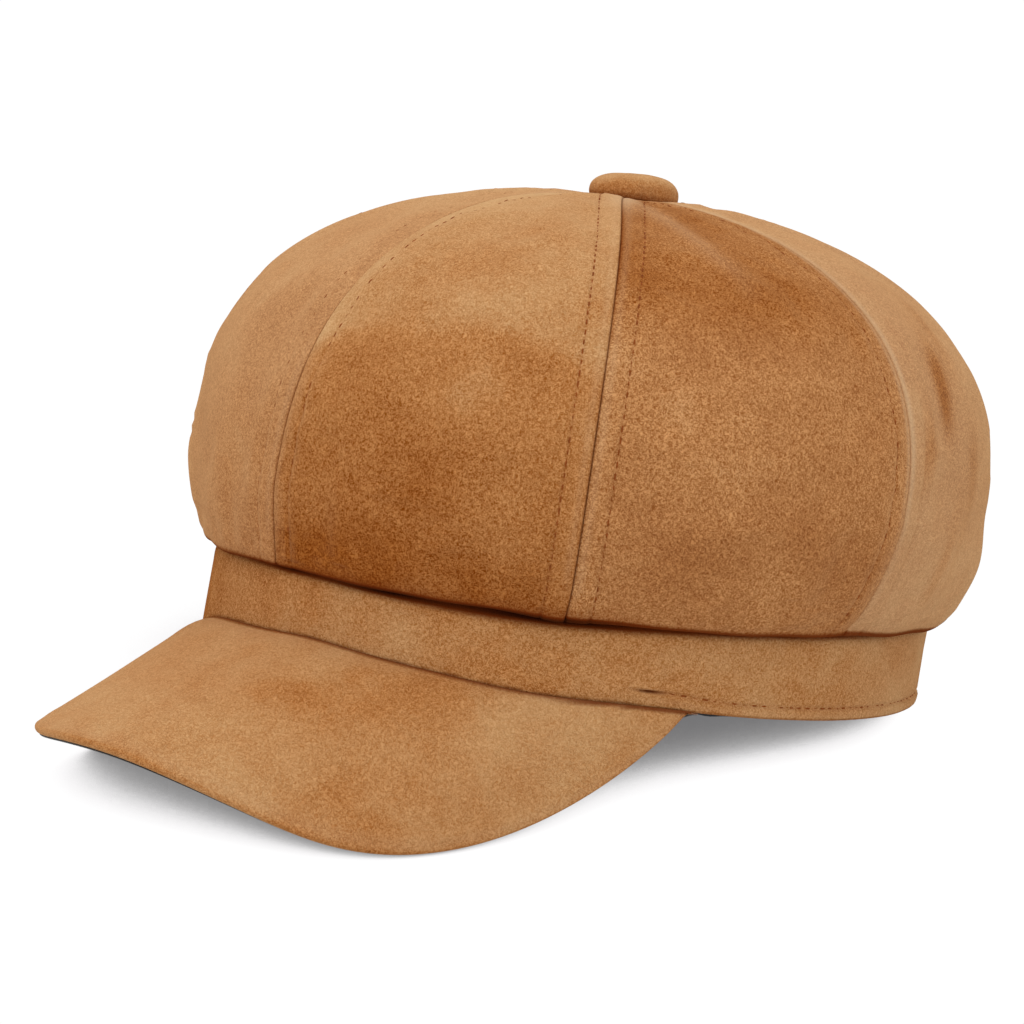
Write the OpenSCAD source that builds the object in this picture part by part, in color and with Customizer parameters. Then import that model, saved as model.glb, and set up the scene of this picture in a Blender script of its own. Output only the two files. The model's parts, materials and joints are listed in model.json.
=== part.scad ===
// Eight-panel cap with a turned-under crown, a stiffened band, a curved visor and a covered button.
// The forehead faces -Y and the wearer's left is +X. Every piece is drawn square to the band, with
// the hem at z = 0 and the band's middle on the z axis, then leaned back by rest_pitch about X.

/* [Head opening] */
// Width of the band across the head, over the outer fabric
band_width = 185.8; // [172:0.1:200]
// Length of the band from forehead to nape, over the outer fabric
band_length = 197; // [184:0.5:212]
// Height of the band from its hem to its top edge
band_height = 25; // [22:0.5:30]
// Thickness of the folded outer band fabric
band_cloth = 1.4; // [1:0.1:1.8]
// Thickness of the stiffening tape inside the band
stiffener_thickness = 0.7; // [0.4:0.1:0.9]
// Thickness of the sweatband
sweatband_thickness = 0.9; // [0.6:0.1:1.2]
// Lean of the band when the cap stands on its nape hem and the visor's side edges
rest_pitch = 11.31; // [8:0.01:14]

/* [Crown] */
// Number of sewn panels that make up the crown
panels = 8; // [8:1:8]
// Mean radius of the crown at its widest level
crown_radius = 104.4; // [100:0.1:112]
// How much further forward than back the crown reaches
crown_forward = 4.5; // [0:0.1:8]
// How much wider the crown is to the sides than to the front
crown_sideways = 3; // [0:0.1:5]
// Extra fullness low down at the nape
crown_back_fill = 7; // [2:0.5:10]
// Height of the crown's top above the hem
crown_height = 120.4; // [112:0.5:135]
// Height of the crown's widest level above the hem
crown_waist = 50.4; // [46:0.1:56]
// Rise of the widest level from the middle to the nape
crown_waist_rise = 11.3; // [6:0.1:13]
// Distance that the middle of the crown sits behind the middle of the band
crown_setback = 1.6; // [0:0.1:4]
// Height at which the crown fabric turns under, over the band
roll_height = 22.3; // [21:0.1:23.5]
// Rise of the turned edge from the middle to the nape
roll_rise = 3.2; // [2:0.1:4]
// Thickness of the crown fabric with its backing
crown_cloth = 1.2; // [0.8:0.1:1.4]
// Thickness of the lining
lining_cloth = 0.4; // [0.3:0.05:0.6]

/* [Button] */
// Diameter of the covered button on top of the crown
button_diameter = 23; // [18:0.5:28]
// Height of the covered button
button_height = 6; // [5:0.1:7]
// Diameter of the button's shank
shank_diameter = 3; // [2:0.1:3.4]
// Diameter of the washer that backs the button inside the crown
washer_diameter = 14; // [10:0.5:18]

/* [Visor] */
// Reach of the visor past its seam, in the middle
visor_reach = 59.1; // [50:0.1:68]
// Angle around the band from the middle of the visor to each of its ends
visor_spread = 66.1; // [58:0.1:72]
// Droop of the visor in the middle
visor_droop = 25.8; // [18:0.1:34]
// Extra droop of the visor at its ends, which gives it its curve
visor_curl = 46.4; // [36:0.1:50]
// Length of the soft sewn edge between the band and the stiff visor
visor_seam = 1.3; // [1.2:0.1:3]
// Thickness of the stiff board in the visor
board_thickness = 1.4; // [1:0.1:1.8]
// Thickness of the fabric that covers the visor
visor_cloth = 0.8; // [0.5:0.1:1]

/* [Stitching] */
// Distance of each row of topstitching from its seam
stitch_offset = 5.8; // [4:0.1:7]
// Thickness of the sewing thread
thread = 0.4; // [0.3:0.05:0.6]
// Height of the hem stitching above the hem
hem_stitch_height = 3; // [2:0.1:6]

/* [Hidden] */

CAMEL = [0.73, 0.51, 0.33];
CAMEL_DARK = [0.62, 0.41, 0.25];
BLACK = [0.08, 0.08, 0.09];
TAPE_WHITE = [0.85, 0.85, 0.82];
LABEL_WHITE = [0.9, 0.9, 0.88];
BOARD_GREY = [0.2, 0.2, 0.22];
METAL = [0.75, 0.76, 0.78];
WASHER_METAL = [0.7, 0.7, 0.72];
THREAD_BROWN = [0.66, 0.44, 0.27];

HALF_WIDTH = band_width / 2;
HALF_LENGTH = band_length / 2;

// ---- shared geometry: angles a run around the head from the forehead towards the wearer's left
function band_radius(a) =
    HALF_WIDTH * HALF_LENGTH / sqrt(pow(HALF_LENGTH * sin(a), 2) + pow(HALF_WIDTH * cos(a), 2));
// Point at angle a, radius r and height z, moved towards the nape by back
function around(a, r, z, back = 0) = [r * sin(a), back - r * cos(a), z];
function unit(v) = v / max(norm(v), 1e-9);
// Value that varies around the head: pair is [value at the sides, gain at the forehead]
function varied(pair, a) = pair[0] + pair[1] * cos(a);
function reversed(list) = [for (i = [len(list) - 1:-1:0]) list[i]];
function has(list, value) = len([for (item = list) if (item == value) item]) > 0;
function quad(a, b, c, d) = [[a, b, c], [a, c, d]];

module leaned() {
    rotate([-rest_pitch, 0, 0]) children();
}

// Closed sheet between two grids of points with the same rows and columns
module sheet(outer, inner) {
    rows = len(outer);
    cols = len(outer[0]);
    m = rows * cols;            // index of the first inner point
    last = m - cols;            // index of the last outer row
    faces = concat(
        [for (i = [0:rows - 2]) for (j = [0:cols - 2])
            let (p = i * cols + j, q = p + cols)
            each concat(quad(p, p + 1, q + 1, q), quad(m + p, m + q, m + q + 1, m + p + 1))],
        // side edges
        [for (i = [0:rows - 2])
            let (p = i * cols, q = p + cols, e = q - 1, f = e + cols)
            each concat(quad(p, q, m + q, m + p), quad(e, m + e, m + f, f))],
        // first and last rows
        [for (j = [0:cols - 2])
            let (b = last + j)
            each concat(quad(j, m + j, m + j + 1, j + 1), quad(b, b + 1, m + b + 1, m + b))]);
    polyhedron([for (grid = [outer, inner]) for (row = grid) each row], faces, convexity = 8);
}

// Solid through a list of loops with equally many points.
// The sides listed in turned are split on their other diagonal.
module carried(loops, turned = []) {
    n = len(loops[0]);
    last = (len(loops) - 1) * n;
    faces = concat(
        [for (i = [0:len(loops) - 2]) for (j = [0:n - 1])
            let (a = i * n + j, b = i * n + (j + 1) % n, c = b + n, d = a + n)
            each has(turned, j) ? quad(b, c, d, a) : quad(a, b, c, d)],
        [[for (j = [n - 1:-1:0]) j]],
        [[for (j = [0:n - 1]) last + j]]);
    polyhedron([for (loop = loops) each loop], faces, convexity = 8);
}

// ---- crown shape: a profile is a list of [radius, height, share of the setback], top first
// Superellipse powers above and below the widest level, as pairs for varied()
UPPER_RADIUS_POWER = [2.2, -0.05];
UPPER_HEIGHT_POWER = 2.52;
LOWER_RADIUS_POWER = [1.46, -0.38];
LOWER_HEIGHT_POWER = [1.21, 0.30];
// Parametric angles of the profile rows, from the top to the waist and from there to the roll
CROWN_UPPER = [8, 16, 26, 37, 48, 59, 70, 80, 90];
CROWN_LOWER = [10, 22, 34, 46, 58, 70, 80, 90];
CROWN_TURN = [36, 72, 108, 144, 180];   // angles of the rows around the turned edge
CROWN_HOLE = 2.2;               // radius left open at the top
NAPE_START = 0.72;              // share of the way back at which the extra fullness starts
ROLL_OUT = [3.89, -1.5];        // distance of the roll's start outside the band, for varied()
TUCK_OUT = 0.4;                 // distance of the tucked fabric outside the band
TUCK_END = 1.5;                 // reach of the tucked edge inside the band's outer face
TUCK_ABOVE_BAND = 0.4;          // least heights of the tuck above the band and the roll
TUCK_ABOVE_ROLL = 0.3;
TURN_CLOTH = 0.75;              // thickest turned fabric, as a share of the turn's radius
TURN_ROW = len(CROWN_UPPER) + len(CROWN_LOWER);     // row at which the turn starts

// 0 from the forehead past the sides, rising smoothly to 1 at the nape
function nape_share(a) =
    let (u = max(0, min(1, (-cos(a) - NAPE_START) / (1 - NAPE_START))))
    u * u * (3 - 2 * u);
function crown_reach(a) =
    crown_radius + crown_forward * cos(a) - crown_sideways * cos(2 * a)
    + crown_back_fill * nape_share(a);
function waist_z(a) = varied([crown_waist, -crown_waist_rise], a);
function roll_z(a) = varied([roll_height, -roll_rise], a);
function tuck_z(a) = max(band_height + TUCK_ABOVE_BAND, roll_z(a) + TUCK_ABOVE_ROLL);
function turn_radius(a) = (varied(ROLL_OUT, a) - TUCK_OUT) / 2;

function upper_point(a, th, reach, top) = [
    reach * pow(sin(th), 2 / varied(UPPER_RADIUS_POWER, a)),
    waist_z(a) + (top - waist_z(a)) * pow(max(cos(th), 0), 2 / UPPER_HEIGHT_POWER),
    1];
function lower_point(a, th, reach, foot) = [
    foot[0] + (reach - foot[0]) * pow(max(cos(th), 0), 2 / varied(LOWER_RADIUS_POWER, a)),
    waist_z(a) - (waist_z(a) - foot[1]) * pow(sin(th), 2 / varied(LOWER_HEIGHT_POWER, a)),
    cos(th)];
// Profile set in by inset, from radius hole at the top down to foot = [radius, height]
function dome_profile(a, inset, hole, upper, lower, foot) =
    let (reach = crown_reach(a) - inset,
         first = asin(pow(hole / reach, varied(UPPER_RADIUS_POWER, a) / 2)))
    concat(
        [for (th = concat([first], upper)) upper_point(a, th, reach, crown_height - inset)],
        [for (th = lower) lower_point(a, th, reach, foot)]);
// Outer face of the crown down to the roll
function crown_side(a, hole, upper) =
    dome_profile(a, 0, hole, upper, CROWN_LOWER,
        [band_radius(a) + varied(ROLL_OUT, a), roll_z(a)]);

function profile_point(a, p) = around(a, p[0], p[1], p[2] * crown_setback);
function profile_direction(from, to) = unit([to[0] - from[0], to[1] - from[1]]);
// Outward normal at row i as [radial, upward, 0]
function profile_normal(profile, i) =
    let (here = profile[i],
         before = profile_direction(profile[max(i - 1, 0)], here),
         after = profile_direction(here, profile[min(i + 1, len(profile) - 1)]),
         d = unit(before + after))
    [-d[1], d[0], 0];

// ---- gores: one panel of crown or lining each
SEAM_GAP = 0.12;                // angle left free on each side of a crown seam

// Angles of the columns of panel k, with margin left free at both sides
function gore_angles(k, margin, cols) =
    let (step = (360 / panels - 2 * margin) / cols)
    [for (j = [0:cols]) k * 360 / panels + margin + j * step];

// Sheet with one profile at each angle; thicknesses[j][i] belongs to row i of profile j.
// The top row is thickened straight down.
module gore(angles, profiles, thicknesses) {
    columns = [0:len(angles) - 1];
    rows = [0:len(profiles[0]) - 1];
    outer = [for (i = rows) [for (j = columns) profile_point(angles[j], profiles[j][i])]];
    inner = [for (i = rows) [for (j = columns)
        let (normal = i == 0 ? [0, 1, 0] : profile_normal(profiles[j], i))
        profile_point(angles[j], profiles[j][i] - thicknesses[j][i] * normal)]];
    leaned() sheet(outer, inner);
}

// ---- crown panels: from the button to the fold over the band
CROWN_COLS = 8;

function crown_profile(a) =
    let (rt = turn_radius(a), tuck = band_radius(a) + TUCK_OUT)
    concat(
        crown_side(a, CROWN_HOLE, CROWN_UPPER),
        [for (h = CROWN_TURN) [tuck + rt + rt * cos(h), roll_z(a) - rt * sin(h), 0]],
        [[tuck, tuck_z(a), 0], [band_radius(a) - TUCK_END, tuck_z(a), 0]]);
// Fabric thickness at row i, thinner where it is folded tight over the band
function crown_thickness(a, i) =
    let (turned = min(crown_cloth, TURN_CLOTH * turn_radius(a)))
    i < TURN_ROW - 1 ? crown_cloth
    : i == TURN_ROW - 1 ? (crown_cloth + turned) / 2
    : turned;

module crown_panel(k) {
    angles = gore_angles(k, SEAM_GAP, CROWN_COLS);
    profiles = [for (a = angles) crown_profile(a)];
    rows = [0:len(profiles[0]) - 1];
    gore(angles, profiles, [for (a = angles) [for (i = rows) crown_thickness(a, i)]]);
}

module crown_panel_front_left() { color(CAMEL) crown_panel(0); }
module crown_panel_side_front_left() { color(CAMEL_DARK) crown_panel(1); }
module crown_panel_side_rear_left() { color(CAMEL) crown_panel(2); }
module crown_panel_rear_left() { color(CAMEL_DARK) crown_panel(3); }
module crown_panel_rear_right() { color(CAMEL) crown_panel(4); }
module crown_panel_side_rear_right() { color(CAMEL_DARK) crown_panel(5); }
module crown_panel_side_front_right() { color(CAMEL) crown_panel(6); }
module crown_panel_front_right() { color(CAMEL_DARK) crown_panel(7); }

// ---- lining panels: thin gores that follow the crown inside, down to the sweatband
LINING_COLS = 5;
LINING_IN = 4.6;                // distance inside the crown's outer face
LINING_HOLE = 3;                // radius left open at the top
LINING_UPPER = [20, 45, 70, 90];
LINING_LOWER = [25, 50, 75, 90];
LINING_FOOT_IN = 3.4;           // distance of the foot inside the band's outer face
LINING_ABOVE_TUCK = 2.4;        // height above the tuck at which the foot starts
LINING_ABOVE_BAND = 1;          // height of the lower edge above the band

function lining_profile(a) =
    let (foot = band_radius(a) - LINING_FOOT_IN)
    concat(
        dome_profile(a, LINING_IN, LINING_HOLE, LINING_UPPER, LINING_LOWER,
            [foot, tuck_z(a) + LINING_ABOVE_TUCK]),
        [[foot, band_height + LINING_ABOVE_BAND, 0]]);

module lining_panel(k) {
    angles = gore_angles(k, 2 * SEAM_GAP, LINING_COLS);
    profiles = [for (a = angles) lining_profile(a)];
    gore(angles, profiles, [for (profile = profiles) [for (p = profile) lining_cloth]]);
}

module lining_panel_front_left() { color(BLACK) lining_panel(0); }
module lining_panel_side_front_left() { color(BLACK) lining_panel(1); }
module lining_panel_side_rear_left() { color(BLACK) lining_panel(2); }
module lining_panel_rear_left() { color(BLACK) lining_panel(3); }
module lining_panel_rear_right() { color(BLACK) lining_panel(4); }
module lining_panel_side_rear_right() { color(BLACK) lining_panel(5); }
module lining_panel_side_front_right() { color(BLACK) lining_panel(6); }
module lining_panel_front_right() { color(BLACK) lining_panel(7); }

// ---- band layers, from the outer fabric inwards
BAND_SIDES = 96;
BAND_GAP = 0.1;                 // clearance between layers
STIFFENER_IN = band_cloth + BAND_GAP;
STIFFENER_BOTTOM = 1.5;
STIFFENER_BELOW_TOP = 1;
SWEATBAND_IN = STIFFENER_IN + stiffener_thickness + BAND_GAP;
SWEATBAND_BOTTOM = 0.4;
SWEATBAND_ABOVE_TOP = 0.4;
LABEL_IN = SWEATBAND_IN + sweatband_thickness + 0.15;
LABEL_CLOTH = 0.4;
LABEL_ANGLE = 13;               // angle that the label covers
LABEL_SIDES = 6;
LABEL_BOTTOM = 7;
LABEL_HEIGHT = 11;

// Plan points inset from the band's outer face
function band_line(angles, inset) =
    [for (a = angles) let (r = band_radius(a) - inset) [r * sin(a), -r * cos(a)]];

module band_ring(inset, thickness, bottom, top) {
    angles = [for (i = [0:BAND_SIDES - 1]) i * 360 / BAND_SIDES];
    leaned() translate([0, 0, bottom]) linear_extrude(height = top - bottom) difference() {
        polygon(band_line(angles, inset));
        polygon(band_line(angles, inset + thickness));
    }
}

module outer_band() {
    color(CAMEL_DARK) band_ring(0, band_cloth, 0, band_height);
}

module band_stiffener() {
    color(TAPE_WHITE) band_ring(STIFFENER_IN, stiffener_thickness,
        STIFFENER_BOTTOM, band_height - STIFFENER_BELOW_TOP);
}

module sweatband() {
    color(BLACK) band_ring(SWEATBAND_IN, sweatband_thickness,
        SWEATBAND_BOTTOM, band_height + SWEATBAND_ABOVE_TOP);
}

// Label on the inner face of the sweatband at the nape
module size_label() {
    angles = [for (i = [0:LABEL_SIDES]) 180 - LABEL_ANGLE / 2 + i * LABEL_ANGLE / LABEL_SIDES];
    color(LABEL_WHITE) leaned()
        translate([0, 0, LABEL_BOTTOM]) linear_extrude(height = LABEL_HEIGHT)
            polygon(concat(
                band_line(angles, LABEL_IN),
                band_line(reversed(angles), LABEL_IN + LABEL_CLOTH)));
}

// ---- visor: straight lines from the seam to the outer edge, drooping more towards the ends
VISOR_COLS = 48;
VISOR_ROWS = 6;
VISOR_FULL = 0.98;              // share of the spread that the stiff visor covers
VISOR_SEAM_OUT = 1.4;           // distance of the seam line outside the band
VISOR_EDGE_POWERS = [6, 1 / 0.9];   // how squarely the outer edge runs into the ends
VISOR_TURN = -0.23;             // heading of a line, as a share of its angle around the band
NORMAL_STEP = 0.2;              // angle to each side over which the surface normal is taken
VISOR_GAP = 0.12;               // clearance between layers
FOLD_CLOTH = 1.0;               // thickness of the top cover folded over the edge
BOARD_FROM_SEAM = 0.4;          // start of the board past the top cover's
BOARD_FROM_FOLD = 0.2;          // clearance between the board and the fold
UNDER_FROM_SEAM = 1;            // start of the under cover past the top cover's
UNDER_FROM_EDGE = 0.1;
BOARD_TOP = board_thickness / 2;
COVER_BOTTOM = BOARD_TOP + VISOR_GAP;
UNDER_TOP = -COVER_BOTTOM - VISOR_GAP;

function visor_length(a) =
    visor_reach * pow(
        max(0, 1 - pow(abs(a) / visor_spread, VISOR_EDGE_POWERS[0])), VISOR_EDGE_POWERS[1]);
function visor_direction(a) =
    let (u = a / visor_spread, droop = visor_droop + visor_curl * u * u)
    around(VISOR_TURN * a, cos(droop), -sin(droop));
// Point of the visor's middle surface, at distance d along the line at angle a
function visor_middle(a, d) =
    [(HALF_WIDTH + VISOR_SEAM_OUT) * sin(a), -(HALF_LENGTH + VISOR_SEAM_OUT) * cos(a), 0]
    + d * visor_direction(a);
// Upward normal, from the points at the same share of the neighbouring lines
function visor_normal(a, d) =
    let (share = d / max(visor_length(a), 0.01),
         left = a + NORMAL_STEP,
         right = a - NORMAL_STEP,
         across = visor_middle(left, share * visor_length(left))
             - visor_middle(right, share * visor_length(right)),
         n = unit(cross(across, visor_direction(a))))
    n[2] < 0 ? -n : n;
function visor_point(a, d, h) = visor_middle(a, d) + h * visor_normal(a, d);

// Layer between heights bottom and top off the middle surface, from a distance past the seam line
// to a distance inside the outer edge; wrap folds it down over the board's edge
module visor_layer(from_seam, from_edge, bottom, top, wrap = false) {
    lip = wrap ? FOLD_CLOTH : 0;
    first_top_side = VISOR_ROWS + 1 + (wrap ? 2 : 0);
    leaned() carried(
        [for (i = [0:VISOR_COLS])
            let (a = visor_spread * VISOR_FULL * (2 * i / VISOR_COLS - 1),
                 edge = visor_length(a),
                 run = edge - from_edge - from_seam)
            concat(
                [for (k = [0:VISOR_ROWS])
                    visor_point(a, from_seam + (run - lip) * k / VISOR_ROWS, bottom)],
                wrap ? [visor_point(a, edge - lip, -bottom), visor_point(a, edge, -bottom)] : [],
                [for (k = [VISOR_ROWS:-1:0])
                    visor_point(a, from_seam + run * k / VISOR_ROWS, top)])],
        turned = [for (k = [0:VISOR_ROWS - 1]) first_top_side + k]);
}

module visor_top_cover() {
    color(CAMEL) visor_layer(visor_seam, 0, COVER_BOTTOM, COVER_BOTTOM + visor_cloth, wrap = true);
}

module visor_board() {
    color(BOARD_GREY) visor_layer(visor_seam + BOARD_FROM_SEAM, FOLD_CLOTH + BOARD_FROM_FOLD,
        -BOARD_TOP, BOARD_TOP);
}

module visor_under_cover() {
    color(BLACK) visor_layer(visor_seam + UNDER_FROM_SEAM, UNDER_FROM_EDGE,
        UNDER_TOP - visor_cloth, UNDER_TOP);
}

// ---- covered button: heights are above its base
BUTTON_RADIUS = button_diameter / 2;
BUTTON_LIFT = 0.2;              // height of the base above the crown's top
COVER_CLOTH = 0.6;
SHELL_METAL = 0.5;
SHELL_GAP = 0.08;               // clearance between the cover and the shell
SHELL_RIM = COVER_CLOTH + 0.35; // height of the shell's rim
DOME_STEPS = 10;
SHOULDER = 0.28;                // height of the dome's foot, as a share of its height
DOME_POWERS = [3, 2.2];         // superellipse powers of the dome's radius and height
SHANK_LENGTH = 3.2;
BACK_BOTTOM = 0.1;              // back plate: underside, top of its rim, top of its middle
BACK_RIM = 0.8;
BACK_TOP = 1.3;
WASHER_THICKNESS = 0.8;
WASHER_BELOW = 0.5;             // clearance between the crown and the washer
SHANK_GAP = 0.05;               // radial clearance in the washer's hole

module at_top() {
    leaned() translate([0, crown_setback, crown_height + BUTTON_LIFT]) children();
}

// Half outline of a dome, from its top to its foot
function dome(radius, height) =
    [for (i = [0:DOME_STEPS])
        let (th = 90 * i / DOME_STEPS)
        [radius * pow(sin(th), 2 / DOME_POWERS[0]),
         height * SHOULDER + height * (1 - SHOULDER) * pow(cos(th), 2 / DOME_POWERS[1])]];

// Hollow dome; rim lists the outline points from its outer foot to its inner foot
module domed_shell(radius, height, thickness, rim) {
    at_top() rotate_extrude($fn = 96) polygon(concat(
        dome(radius, height), rim, reversed(dome(radius - thickness, height - thickness))));
}

module button_cover() {
    r = BUTTON_RADIUS;
    color(CAMEL_DARK) domed_shell(r, button_height, COVER_CLOTH, [
        [r - 0.5, 0.5], [r - 1.3, 0.05], [r - 3, 0],
        [r - 3, COVER_CLOTH], [r - COVER_CLOTH - 0.8, COVER_CLOTH + 0.1]]);
}

module button_shell() {
    inset = COVER_CLOTH + SHELL_GAP;
    r = BUTTON_RADIUS - inset;
    color(METAL) domed_shell(r, button_height - inset, SHELL_METAL,
        [[r - 0.6, SHELL_RIM], [r - SHELL_METAL - 0.3, SHELL_RIM]]);
}

// Back plate and shank in one
module button_back() {
    shank = shank_diameter / 2;
    plate = BUTTON_RADIUS - 3.2;
    plate_top = BUTTON_RADIUS - 4.5;
    color(METAL) at_top() rotate_extrude($fn = 64) polygon([
        [0, -SHANK_LENGTH], [shank, -SHANK_LENGTH], [shank, BACK_BOTTOM],
        [plate, BACK_BOTTOM], [plate, BACK_RIM], [plate_top, BACK_TOP], [0, BACK_TOP]]);
}

module button_washer() {
    bottom = -BUTTON_LIFT - crown_cloth - WASHER_BELOW - WASHER_THICKNESS;
    color(WASHER_METAL) at_top() translate([0, 0, bottom]) difference() {
        cylinder(h = WASHER_THICKNESS, d = washer_diameter, $fn = 64);
        // hole for the shank, cut past both faces
        translate([0, 0, -1]) cylinder(h = 3, r = shank_diameter / 2 + SHANK_GAP, $fn = 64);
    }
}

// ---- topstitching: a thread on each side of every crown seam, and one along the hem
STITCH_LIFT = 0.35;             // height above the smooth crown, which clears its facets
STITCH_FIRST = 16.5;            // radius at which the crown stitching starts
STITCH_UPPER = [18, 24, 31, 38, 46, 54, 62, 71, 80, 90];
HEM_STITCH_LIFT = 0.08;         // clearance between the hem thread and the band
HEM_STITCH_FROM_VISOR = 3;      // angle between the visor's end and the hem thread's
HEM_STITCH_STEPS = 64;
// Corners of a thread's square section, as [outward, crosswise] half thicknesses
THREAD_CORNERS = [[-1, -1], [1, -1], [1, 1], [-1, 1]];

function stitch_profile(a) = crown_side(a, STITCH_FIRST, STITCH_UPPER);
// Thread section at row i of the profile at angle a
function stitch_section(a, i) =
    let (profile = stitch_profile(a),
         n = profile_normal(profile, i),
         outward = around(a, n[0], n[1]),
         crosswise = [cos(a), sin(a), 0],
         middle = profile_point(a, profile[i]) + (thread / 2 + STITCH_LIFT) * outward)
    [for (c = THREAD_CORNERS) middle + thread / 2 * (c[0] * outward + c[1] * crosswise)];

// Thread beside the seam at angle seam; side is 1 or -1
module crown_thread(seam, side) {
    guide = stitch_profile(seam);
    leaned() carried([for (i = [0:len(guide) - 1])
        stitch_section(seam + side * asin(stitch_offset / guide[i][0]), i)]);
}

module crown_topstitch() {
    color(THREAD_BROWN)
        for (k = [0:panels - 1]) for (side = [-1, 1]) crown_thread(k * 360 / panels, side);
}

// Runs around the back, from one end of the visor to the other
module hem_topstitch() {
    start = visor_spread + HEM_STITCH_FROM_VISOR;
    half = thread / 2;
    color(THREAD_BROWN) leaned() carried([for (i = [0:HEM_STITCH_STEPS])
        let (a = start + (360 - 2 * start) * i / HEM_STITCH_STEPS,
             r = band_radius(a) + half + HEM_STITCH_LIFT)
        [for (c = THREAD_CORNERS) around(a, r + half * c[0], hem_stitch_height + half * c[1])]]);
}

crown_panel_front_left();
crown_panel_side_front_left();
crown_panel_side_rear_left();
crown_panel_rear_left();
crown_panel_rear_right();
crown_panel_side_rear_right();
crown_panel_side_front_right();
crown_panel_front_right();
lining_panel_front_left();
lining_panel_side_front_left();
lining_panel_side_rear_left();
lining_panel_rear_left();
lining_panel_rear_right();
lining_panel_side_rear_right();
lining_panel_side_front_right();
lining_panel_front_right();
outer_band();
band_stiffener();
sweatband();
size_label();
visor_top_cover();
visor_board();
visor_under_cover();
button_cover();
button_shell();
button_back();
button_washer();
crown_topstitch();
hem_topstitch();
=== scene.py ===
# An eight-gore cap of brushed camel cloth: full crown on a low band, visor, covered button.
# Shapes are worked out in mm in the band's own axes: the head opening lies near z = 0, the front
# is -y and the wearer's left is +x. Angles are in degrees, from the front towards the left.
# lean() tips those axes about x into the model's frame, in metres.
import json
import math
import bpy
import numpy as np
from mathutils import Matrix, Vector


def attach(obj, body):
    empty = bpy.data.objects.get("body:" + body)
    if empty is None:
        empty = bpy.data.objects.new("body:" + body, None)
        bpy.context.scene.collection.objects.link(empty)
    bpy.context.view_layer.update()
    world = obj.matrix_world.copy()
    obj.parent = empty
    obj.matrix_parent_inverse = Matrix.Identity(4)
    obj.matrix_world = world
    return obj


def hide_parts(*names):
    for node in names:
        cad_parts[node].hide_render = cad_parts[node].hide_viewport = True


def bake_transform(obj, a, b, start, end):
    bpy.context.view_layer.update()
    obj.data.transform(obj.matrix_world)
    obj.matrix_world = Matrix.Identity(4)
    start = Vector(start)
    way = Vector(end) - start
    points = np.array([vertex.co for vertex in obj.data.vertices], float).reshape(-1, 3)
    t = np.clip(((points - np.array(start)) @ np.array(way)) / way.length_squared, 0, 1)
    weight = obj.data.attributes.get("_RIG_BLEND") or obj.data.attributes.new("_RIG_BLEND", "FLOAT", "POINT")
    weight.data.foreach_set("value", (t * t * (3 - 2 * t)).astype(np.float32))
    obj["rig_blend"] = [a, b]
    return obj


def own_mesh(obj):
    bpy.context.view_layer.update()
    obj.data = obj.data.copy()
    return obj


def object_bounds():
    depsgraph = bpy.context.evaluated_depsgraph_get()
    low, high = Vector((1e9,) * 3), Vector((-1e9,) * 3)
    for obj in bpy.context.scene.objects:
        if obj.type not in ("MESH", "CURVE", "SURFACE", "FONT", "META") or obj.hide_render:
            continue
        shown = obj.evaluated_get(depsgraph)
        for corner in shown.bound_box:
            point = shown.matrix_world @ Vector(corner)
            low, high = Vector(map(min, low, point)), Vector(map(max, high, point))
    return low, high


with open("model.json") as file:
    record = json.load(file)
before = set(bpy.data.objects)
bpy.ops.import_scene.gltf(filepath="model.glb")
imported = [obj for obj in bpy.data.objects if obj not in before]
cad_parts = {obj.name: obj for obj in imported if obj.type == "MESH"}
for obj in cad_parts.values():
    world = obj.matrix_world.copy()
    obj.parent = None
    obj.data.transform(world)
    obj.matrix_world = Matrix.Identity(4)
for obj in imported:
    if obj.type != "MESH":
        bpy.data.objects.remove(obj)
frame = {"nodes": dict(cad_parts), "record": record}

from types import SimpleNamespace

import bmesh
import bpy
import numpy as np
from mathutils import Vector

SCENE = bpy.context.scene
CAD_LO, CAD_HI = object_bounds()


# ------------------------------------------------------------------ curves
def ease(x):
    """Smooth step from 0 to 1 as x goes from 0 to 1."""
    x = np.clip(x, 0, 1)
    return x * x * (3 - 2 * x)


def edge(x, reach):
    """Smooth step from 0 to 1 as x goes from -reach to reach."""
    return ease((x + reach) / (2 * reach))


def bell(x, centre, width):
    return np.exp(-(((x - centre) / width) ** 2))


def bells(x, table, width):
    """Sum of bells from a table of (centre, height)."""
    return sum(height * bell(x, centre, width) for centre, height in table)


def cosd(angle):
    return np.cos(np.radians(angle))


def signed(angle):
    """The angle brought into -180..180."""
    return (angle + 180) % 360 - 180


def waves(seed, count, fewest, most):
    """Smooth noise, periodic in an angle with fewest to most waves a turn, and free along v."""
    rnd = np.random.RandomState(seed)
    turns = rnd.randint(fewest, most + 1, count)
    drift = rnd.uniform(-1, 1, count)
    phase = rnd.uniform(0, 2 * np.pi, count)
    amp = rnd.uniform(0.5, 1, count)
    amp /= np.sqrt((amp ** 2).sum() / 2)

    def at(angle, v):
        turn = np.radians(angle)
        return sum(amp[i] * np.sin(turns[i] * turn + drift[i] * v + phase[i])
                   for i in range(count))

    return at


# ------------------------------------------------------------------ frame
MOUNT = next(m for m in frame["record"]["mounts"] if m["name"] == "head_opening")
TILT_SIN, TILT_COS = -MOUNT["axis"][1], -MOUNT["axis"][2]
UP_BAND = np.array([0.0, TILT_SIN, TILT_COS])


def lean(p):
    """Points in the band's axes, in mm, to the model's frame, in metres."""
    p = np.asarray(p, float)
    x, y, z = p[..., 0], p[..., 1], p[..., 2]
    return np.stack([x, y * TILT_COS + z * TILT_SIN, -y * TILT_SIN + z * TILT_COS], -1) / 1000


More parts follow.
